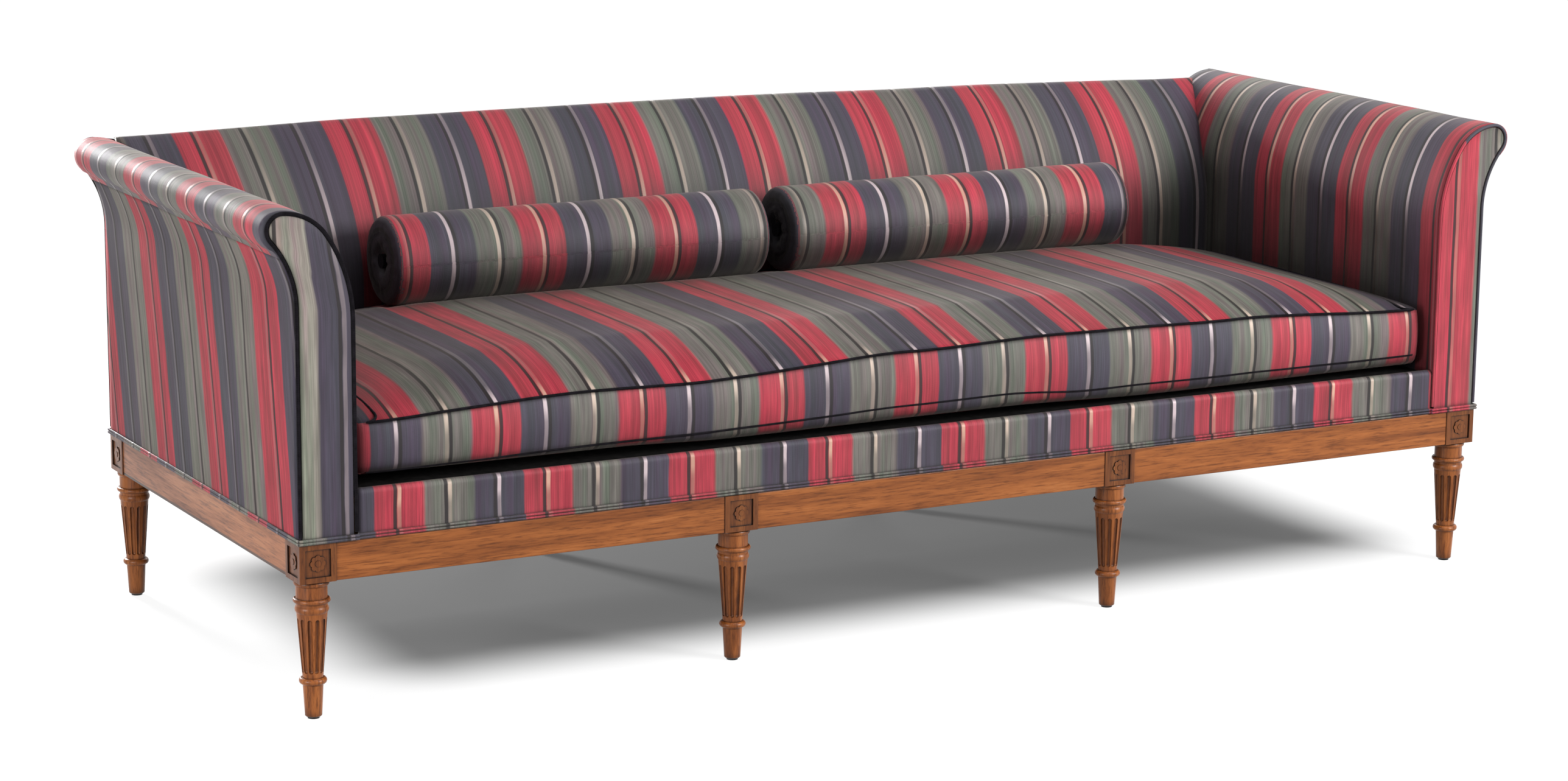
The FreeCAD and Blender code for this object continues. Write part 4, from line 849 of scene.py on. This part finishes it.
def make_deck():
    """Deck under the cushion, with a padded border above the front rail and a hollow behind its nose."""
    turn_z = NOSE_TOP - DECK_NOSE
    nose_y = DECK_FRONT_Y + DECK_NOSE
    deck = add_wall("deck_cover", (0.0, DECK_FRONT_Y, (RAIL_TOP + turn_z) / 2),
                    (2 * SEAT_END_X, turn_z - RAIL_TOP), (240, 10), (math.radians(90), 0.0, 0.0))
    shape(deck)
    pick(lambda co: co.z > turn_z - 0.0004)
    bpy.ops.mesh.spin(steps=11, angle=math.radians(150), center=(0.0, nose_y, turn_z), axis=(1, 0, 0))
    pull(y=0.006, z=-0.0028)
    pull(y=0.100)
    pull(y=0.030, z=0.0147)
    pull(y=0.5235)
    settle(deck, lambda co: Vector((0.0, -1.0, 1.0)))
    soften(deck, 0.0020, 0.09, 21.0,
           lambda co: ease((0.98 - abs(co.x)) / 0.05) * ease((-0.41 - co.y) / 0.008))
    thicken(deck, DECK_WALL)

    # Painted sheen on the border's satin lines: strongest near the top, weaker lower down, none on the nose
    # where the cushion shades it.
    def painted_line_sheen(co, normal):
        return (0.35 + 0.65 * ease((co.z - 0.305) / 0.022)) * ease((0.348 - co.z) / 0.010)

    lay_cloth(deck, lambda co: co.x, lambda co: co.z - co.y, painted_line_sheen)
    deck.data.materials.append(striped_cloth("striped cloth, deck", DECK_RED, 1.0))
    deck.data.materials.append(DUST_CLOTH)
    for face in deck.data.polygons:
        if face.center.y > nose_y + 0.001:
            face.material_index = 1
    padded_cover(deck, "frame", 0.9, "seat_deck")


def make_trim():
    """Double welt of the same cloth over the tacked edge, all round above the rails."""
    radius, foot, step = 0.0023, 0.2727, 0.0006
    front, facing, side_x, rear = -0.4224, -0.4258, 1.0804, 0.4252
    arm_run = side_x - SEAT_END_X - step
    path = add_point("double_welt_trim", (-SEAT_END_X, front, foot))
    pull(x=2 * SEAT_END_X)
    pull(x=step, y=facing - front)
    pull(x=arm_run)
    pull(y=rear - facing)
    pull(x=-2 * side_x)
    pull(y=facing - rear)
    pull(x=arm_run)
    pull(x=step, y=front - facing)
    bpy.ops.mesh.select_all(action="SELECT")
    bpy.ops.mesh.remove_doubles(threshold=0.0001)
    bpy.ops.mesh.duplicate_move(TRANSFORM_OT_translate={"value": (0.0, 0.0, 2 * radius)})
    trim = cord_along(path, radius)
    # The trim's satin lines get little painted sheen.
    lay_cloth(trim, lambda co: co.x + co.y, lambda co: co.z, lambda co, normal: 0.15)
    trim.data.materials.append(striped_cloth("striped cloth, trim", DECK_RED + front, 1.0))
    sewn_on(trim, "frame", "striped_cover", "rail_trim")


# Loose seat cushion

CUSHION_RED, BOXING_RED = 0.058, -0.024
# Heights along the cushion's front: its top welt, its bottom welt and its lower edge
TOP_SEAM = ((-0.98, 0.437), (-0.60, 0.449), (-0.42, 0.446), (-0.03, 0.462), (0.20, 0.466),
            (0.60, 0.462), (0.98, 0.449))
FOOT_SEAM = ((-0.98, 0.361), (-0.50, 0.368), (0.13, 0.379), (0.30, 0.370), (0.98, 0.371))
LOWER_EDGE = ((-0.98, 0.3555), (-0.55, 0.3550), (-0.35, 0.3495), (0.15, 0.3520), (0.45, 0.3465),
              (0.98, 0.3500))
CUSHION_PLATEAU, END_DROP, END_RUN, REAR_DROP = 0.500, 0.045, 0.45, 0.018
FRONT_ROUND, REAR_ROUND = 0.060, 0.030
CUSHION_CORNER = 0.020
BOX_FOOT = 0.016


def cushion_top(x, y):
    """Height of the cushion's top before it swells: steep behind the front welt, then nearly level."""
    from_end = min((CUSHION_END_X - abs(x)) / END_RUN, 1.0)
    plateau = CUSHION_PLATEAU - END_DROP * (1.0 - from_end) ** 2
    front_edge = read_off(TOP_SEAM, x)
    rear_edge = plateau - REAR_DROP
    rise = max(1.0 - math.exp((CUSHION_FRONT_Y - y) / FRONT_ROUND), 0.0)
    fall = max(1.0 - math.exp((y - CUSHION_REAR_Y) / REAR_ROUND), 0.0)
    height = front_edge + (plateau - front_edge) * rise
    return rear_edge + (height - rear_edge) * fall


def cushion_foot(x, y):
    """Height of the cushion's underside, which hangs or lifts a little along the front."""
    return CUSHION_FOOT + (read_off(LOWER_EDGE, x) - CUSHION_FOOT) * ease((-0.30 - y) / 0.07)


def boxing_stand(level, height):
    """How far the boxing stands out between the welts, and turns in under its foot."""
    swelling = 0.005 * math.sin(math.pi * min(max(level, 0.0), 1.0))
    return swelling - 0.012 * max(1.0 - height / 0.018, 0.0) ** 2


def swell(piece, pinned, cap, pressure, frames=20):
    """Blow a stuffed piece up as cloth under pressure, held at its seams, and limit how far it swells."""
    hold(piece)
    start = [point.co.copy() for point in piece.data.vertices]
    seams = piece.vertex_groups.new(name="seams")
    held = [point.index for point in piece.data.vertices if pinned(point.co)]
    seams.add(held, 1.0, "REPLACE")
    bpy.ops.object.modifier_add(type="CLOTH")
    cloth = piece.modifiers[-1]
    cloth.settings.quality = 4
    cloth.settings.mass = 0.3
    cloth.settings.tension_stiffness = 20.0
    cloth.settings.compression_stiffness = 20.0
    cloth.settings.bending_stiffness = 0.8
    cloth.settings.use_pressure = True
    cloth.settings.uniform_pressure_force = pressure
    cloth.settings.effector_weights.gravity = 0.0
    cloth.settings.vertex_group_mass = "seams"
    cloth.collision_settings.use_collision = False
    cloth.point_cache.frame_end = frames
    for step in range(1, frames + 1):
        bpy.context.scene.frame_set(step)
    bpy.ops.object.modifier_apply(modifier=cloth.name)
    bpy.context.scene.frame_set(1)
    for point, before in zip(piece.data.vertices, start):
        move = point.co - before
        if move.length > cap:
            point.co = before + move.normalized() * cap
    piece.vertex_groups.clear()
    piece.data.update()


def clear_of_bolsters(piece):
    """Press the cushion down where the bolsters lie on it."""
    reach = BOLSTER_RADIUS + 0.0005
    for point in piece.data.vertices:
        for middle in BOLSTER_MIDDLES.values():
            if abs(point.co.x - middle) > BOLSTER_LENGTH / 2 + 0.004:
                continue
            across = point.co.y - BOLSTER_Y
            if abs(across) < reach:
                lowest = BOLSTER_Z - math.sqrt(reach ** 2 - across ** 2)
                point.co.z = min(point.co.z, lowest)
    piece.data.update()


def remesh(piece, voxel):
    """Even out the mesh before it swells."""
    hold(piece)
    bpy.ops.object.modifier_add(type="REMESH")
    even = piece.modifiers[-1]
    even.mode = "VOXEL"
    even.voxel_size = voxel
    bpy.ops.object.modifier_apply(modifier=even.name)


def make_cushion():
    """One long box cushion: crowned top, boxed sides and a welt along each edge."""
    half_x, half_y = CUSHION_END_X - 0.004, (CUSHION_REAR_Y - CUSHION_FRONT_Y) / 2 - 0.003
    middle_y = (CUSHION_REAR_Y + CUSHION_FRONT_Y) / 2
    block = 0.100
    rest()
    bpy.ops.mesh.primitive_cube_add(size=1.0, location=(0.0, middle_y, CUSHION_FOOT + block / 2))
    cushion = bpy.context.object
    cushion.name = "cushion_cover"
    set_in_place(cushion, (2 * half_x, 2 * half_y, block))
    shape(cushion)
    pick_edges(lambda run: abs(run.z) > block / 2)
    bpy.ops.mesh.bevel(offset=CUSHION_CORNER, segments=6, affect="EDGES")
    rest()
    remesh(cushion, 0.010)

    def plan_edge(x, y):
        dx = half_x - abs(x)
        dy = half_y - abs(y - middle_y)
        if dx < CUSHION_CORNER and dy < CUSHION_CORNER:
            return CUSHION_CORNER - math.hypot(CUSHION_CORNER - dx, CUSHION_CORNER - dy)
        return min(dx, dy)

    def way_out(x, y):
        dx, dy = half_x - abs(x), half_y - abs(y - middle_y)
        return Vector((math.copysign(1.0, x) if dx <= dy else 0.0,
                       math.copysign(1.0, y - middle_y) if dy <= dx else 0.0, 0.0))

    boxing = [face.index for face in cushion.data.polygons
              if abs(face.normal.z) < 0.72 and plan_edge(face.center.x, face.center.y) < 0.011]
    for point in cushion.data.vertices:
        x, y = point.co.x, point.co.y
        level = (point.co.z - CUSHION_FOOT) / block
        height = level * (cushion_top(x, y) - cushion_foot(x, y))
        point.co.z = cushion_foot(x, y) + height
        if plan_edge(x, y) < 0.012:
            point.co += way_out(x, y) * boxing_stand(level, height)
    cushion.data.update()

    def pinned(co):
        at_rim = plan_edge(co.x, co.y) < 0.010 and co.z > cushion_top(co.x, co.y) - 0.008
        return at_rim or co.z < cushion_foot(co.x, co.y) + 0.018

    swell(cushion, pinned, 0.006, 4.0)
    clear_of_bolsters(cushion)
    hold(cushion)
    bpy.ops.object.shade_smooth()
    lay_cushion_cloth(cushion, boxing)
    welts = []
    for label in ("top", "bottom"):
        path = trace_cushion("cushion_welt_" + label, half_x, half_y, middle_y)
        for point in path.data.vertices:
            x, y = point.co.x, point.co.y
            ripple = 0.0012 * noise.noise(Vector((x * 9.0, y * 9.0, 5.0)))
            foot, top = cushion_foot(x, y), cushion_top(x, y)
            seam = foot + BOX_FOOT
            if y < -0.36:
                seam = read_off(FOOT_SEAM, x)
            height = (top if label == "top" else seam) - foot
            point.co.z = foot + height + ripple
            if label == "top":
                point.co += way_out(x, y) * 0.0005
            else:
                point.co += way_out(x, y) * boxing_stand(height / (top - foot), height)
        welts.append(cord_along(path, 0.0021 if label == "top" else 0.0015))
    welt = join_pieces(welts, "cushion_welts")
    welt.data.materials.append(WELT_CLOTH)
    padded_cover(cushion, "seat_cushion", 0.75, "seat_cushion")
    sewn_on(welt, "seat_cushion", "welt_cord")


def lay_cushion_cloth(cushion, boxing):
    """Stripes on the cushion: the top runs one way, the boxing was cut the other way round."""
    mesh = cushion.data

    # Painted sheen on the satin lines: on the top only near the front welt, on the boxing strong at the top
    # and weaker lower down.
    def painted_line_sheen(co, normal):
        if normal.z > 0.35:
            return 0.10 + 0.90 * ease((CUSHION_FRONT_Y + 0.045 - co.y) / 0.045)
        return 0.32 + 0.68 * ease((co.z - read_off(TOP_SEAM, co.x) + 0.040) / 0.035)

    lay_cloth(cushion, lambda co: co.x, lambda co: co.z - co.y, painted_line_sheen)
    mesh.materials.append(striped_cloth("striped cloth, cushion top", CUSHION_RED, 1.0, gloss=0.12))
    mesh.materials.append(striped_cloth("striped cloth, cushion boxing", BOXING_RED, -1.0))
    for index in boxing:
        mesh.polygons[index].material_index = 1


def trace_cushion(name, half_x, half_y, middle_y):
    """Path round the plan of the cushion, in short runs that can follow its welts."""
    corner = CUSHION_CORNER
    turn = math.radians(90)
    long, deep = 2 * half_x - 2 * corner, 2 * half_y - 2 * corner
    path = add_point(name, (half_x - corner, middle_y - half_y, 0.0))
    runs = ((-long, 0, -1, -1), (0, deep, -1, 1), (long, 0, 1, 1), (0, -deep, 1, -1))
    for run_x, run_y, side_x, side_y in runs:
        pull(x=run_x, y=run_y)
        bpy.ops.mesh.spin(steps=6, angle=-turn, axis=(0, 0, 1),
                          center=(side_x * (half_x - corner), middle_y + side_y * (half_y - corner), 0.0))
    bpy.ops.mesh.select_all(action="SELECT")
    bpy.ops.mesh.remove_doubles(threshold=0.0001)
    for cuts, shortest in ((3, 1.0), (23, 0.3)):
        divide_long_edges(shortest, cuts)
    rest()
    return path


# Bolsters

BOLSTER_RED = {"left": -0.437, "right": 0.3735}


def make_bolsters():
    """Round bolsters whose cloth is gathered to a button at each end."""
    radius = BOLSTER_RADIUS - 0.004
    half = BOLSTER_LENGTH / 2
    rest()
    bpy.ops.mesh.primitive_cylinder_add(vertices=72, radius=radius, depth=BOLSTER_LENGTH - 0.006,
                                        rotation=(0.0, math.radians(90), 0.0))
    bolster = bpy.context.object
    bolster.name = "bolster_cover"
    set_in_place(bolster)
    shape(bolster)
    pick_edges(lambda run: abs(run.x) < 0.001)
    bpy.ops.mesh.bevel(offset=0.014, segments=4, affect="EDGES")
    rest()
    remesh(bolster, 0.005)

    def pinned(co):
        far = math.hypot(co.y, co.z)
        at_rim = half - abs(co.x) < 0.020 and far > radius - 0.004
        return far < 0.014 or at_rim

    swell(bolster, pinned, 0.004, 4.0)
    for point in bolster.data.vertices:
        far = math.hypot(point.co.y, point.co.z)
        turn = math.atan2(point.co.z, point.co.y)
        end = ease((abs(point.co.x) - half + 0.022) / 0.018)
        dent = 0.009 * ease((0.034 - far) / 0.026)
        wave = math.sin(22 * turn + 1.5 * math.sin(3 * turn))
        pleat = 0.0022 * wave * ease(far / 0.020) * ease((0.074 - far) / 0.03)
        point.co.x -= math.copysign(end * (dent + pleat), point.co.x)
    bolster.data.update()
    soften(bolster, 0.0018, 0.11, 31.0)
    hold(bolster)
    bpy.ops.object.shade_smooth()
    for word, middle in BOLSTER_MIDDLES.items():
        twin = copy_piece(bolster, "bolster_cover_" + word)
        place = Vector((middle, BOLSTER_Y, BOLSTER_Z))
        spread = {}
        for point in twin.data.vertices:
            local = point.co.copy()
            far = math.hypot(local.y, local.z)
            spread[point.index] = middle + local.x
            if abs(local.x) > half - 0.012:
                spread[point.index] = BOLSTER_RED[word] + STRIPE_PITCH + far - 0.046
            point.co = local + place
        twin.data.update()
        cloth = twin.data.attributes.new("cloth", "FLOAT_VECTOR", "POINT")
        for point in twin.data.vertices:
            local = point.co - place
            along = math.atan2(local.z, local.y) * BOLSTER_RADIUS
            # Painted sheen on the bolster's satin lines, none on the gathered ends.
            sheen_at_point = 0.85 * ease((half - 0.015 - abs(local.x)) / 0.02)
            cloth.data[point.index].vector = (spread[point.index], along, sheen_at_point)
        twin.data.materials.append(
            striped_cloth("striped cloth, %s bolster" % word, BOLSTER_RED[word], -1.0))
        padded_cover(twin, word + "_bolster", 0.85, "bolster_" + word)
    bpy.data.objects.remove(bolster)
    dress_node(nodes_named("bolster_buttons"), WELT_CLOTH)


# Dust cover

def make_dust_cover():
    """Black cloth tacked under the rails, sagging a little in each bay."""
    low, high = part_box("dust_cover")
    size = high - low
    cover = add_wall("dust_cover_cloth", ((low.x + high.x) / 2, (low.y + high.y) / 2, high.z - 0.0006),
                     (size.x, size.y), (90, 36), (0.0, 0.0, 0.0))
    for point in cover.data.vertices:
        bay = abs(math.sin(math.pi * (point.co.x + 1.05) / 0.70))
        depth = math.cos(math.pi * point.co.y / size.y)
        point.co.z -= 0.006 * bay * max(depth, 0.0)
    settle(cover, lambda co: Vector((0.0, 0.0, -1.0)))
    cover.data.materials.append(DUST_CLOTH)
    sewn_on(cover, "frame", "dust_cloth", "dust_cover")


for word, side in SIDES.items():
    make_arm_pad(word, side)
    make_arm_outside(word, side)
    make_arm_front(word, side)
make_back()
make_back_outside()
make_deck()
make_trim()
make_cushion()
make_bolsters()
make_dust_cover()


# Floor, light and camera

# Middle and half size of the floor patch under the sofa that glows less: a painted shadow.
SHADOW_MIDDLE, SHADOW_HALF = (0.08, 0.12), (0.84, 0.27)


def seen_by_eye(tree):
    """One for rays that show the background directly, in a gloss or through glass."""
    path = add(tree, "ShaderNodeLightPath")
    shown = calc(tree, "MAXIMUM", path.outputs["Is Camera Ray"], path.outputs["Is Glossy Ray"])
    return calc(tree, "MAXIMUM", shown, path.outputs["Is Transmission Ray"])


def add_floor():
    """Pale floor that keeps the sofa's shadow, with a painted shadow under it: the floor glows less there
    and fades to white away from it.
    """
    rest()
    bpy.ops.mesh.primitive_plane_add(size=60.0, location=(0.0, 0.0, 0.0))
    floor = bpy.context.object
    floor.name = "studio_floor"
    material, tree, shader = new_finish("pale studio floor")
    shader.inputs["Base Color"].default_value = (0.22, 0.22, 0.22, 1.0)
    shader.inputs["Roughness"].default_value = 0.9
    shader.inputs["Specular IOR Level"].default_value = 0.0
    shown = seen_by_eye(tree)
    place = add(tree, "ShaderNodeTexCoord")
    parts = add(tree, "ShaderNodeSeparateXYZ", [(0, place.outputs["Object"])])
    reach = []
    for part, middle, half in zip(parts.outputs, SHADOW_MIDDLE, SHADOW_HALF):
        out = calc(tree, "SUBTRACT", calc(tree, "ABSOLUTE", calc(tree, "SUBTRACT", part, middle)), half)
        out = calc(tree, "MAXIMUM", out, 0.0)
        reach.append(calc(tree, "MULTIPLY", out, out))
    away = calc(tree, "SQRT", calc(tree, "ADD", reach[0], reach[1]))
    # Painted shadow: the glow is weak over the patch under the sofa and grows away from it.
    glow = calc(tree, "ADD", ramp_between(tree, away, 0.0, 0.24, 0.09, 0.90),
                ramp_between(tree, away, 0.2, 1.2, 0.0, 0.10))
    shader.inputs["Emission Color"].default_value = (1.0, 1.0, 1.0, 1.0)
    tree.links.new(calc(tree, "MULTIPLY", shown, glow), shader.inputs["Emission Strength"])
    floor.data.materials.append(material)


def add_world():
    """White surroundings that give only a little light of their own."""
    world = bpy.data.worlds.new("studio")
    bpy.context.scene.world = world
    world.use_nodes = True
    tree = world.node_tree
    back = tree.nodes["Background"]
    back.inputs["Color"].default_value = (1.0, 1.0, 1.0, 1.0)
    strength = calc(tree, "MAXIMUM", seen_by_eye(tree), 0.06)
    tree.links.new(strength, back.inputs["Strength"])


def add_lamp(name, place, aim, width, height, power):
    """A soft lamp at a place, turned towards what it lights."""
    lamp = bpy.data.lights.new(name, "AREA")
    lamp.shape = "RECTANGLE"
    lamp.size = width
    lamp.size_y = height
    lamp.energy = power
    stand = bpy.data.objects.new(name, lamp)
    stand.visible_camera = False
    stand.location = place
    stand.rotation_euler = (Vector(aim) - Vector(place)).to_track_quat("-Z", "Y").to_euler()
    bpy.context.scene.collection.objects.link(stand)


def add_camera():
    """Camera where the photograph was taken, from its fitted place, turn, tilt and roll."""
    yaw, pitch, roll = math.radians(28.692), math.radians(11.848), math.radians(0.520)
    ahead = Vector((math.sin(yaw) * math.cos(pitch), math.cos(yaw) * math.cos(pitch), -math.sin(pitch)))
    right = Vector((math.cos(yaw), -math.sin(yaw), 0.0))
    up = right.cross(ahead)
    image_right = right * math.cos(roll) + up * math.sin(roll)
    image_up = up * math.cos(roll) - right * math.sin(roll)
    camera = bpy.data.objects.new("photo_camera", bpy.data.cameras.new("photo_camera"))
    camera.data.sensor_fit = "HORIZONTAL"
    camera.data.sensor_width = 36.0
    camera.data.lens = 36.0 * 6184.69 / 2576.0
    camera.data.clip_end = 100.0
    turn = Matrix((image_right, image_up, -ahead)).transposed()
    camera.matrix_world = Matrix.Translation((-3.0124, -5.4208, 1.6232)) @ turn.to_4x4()
    bpy.context.scene.collection.objects.link(camera)
    bpy.context.scene.camera = camera


add_floor()
add_world()
add_lamp("front_softbox", (3.0, -4.3, 2.5), (0.0, 0.0, 0.4), 2.0, 2.0, 265.0)
add_lamp("overhead_softbox", (0.4, -1.6, 4.2), (0.2, 0.0, 0.4), 2.4, 2.4, 52.0)
add_lamp("left_softbox", (-2.8, -1.1, 0.6), (-1.0, -0.1, 0.45), 0.8, 0.8, 29.0)
add_lamp("rear_softbox", (-1.2, 2.5, 1.1), (-1.1, 0.0, 0.74), 0.4, 0.6, 80.0)
add_lamp("rear_high_softbox", (1.5, 2.4, 1.55), (0.6, 0.0, 0.6), 1.2, 0.4, 16.0)
add_camera()
bpy.context.scene.view_settings.view_transform = "Standard"
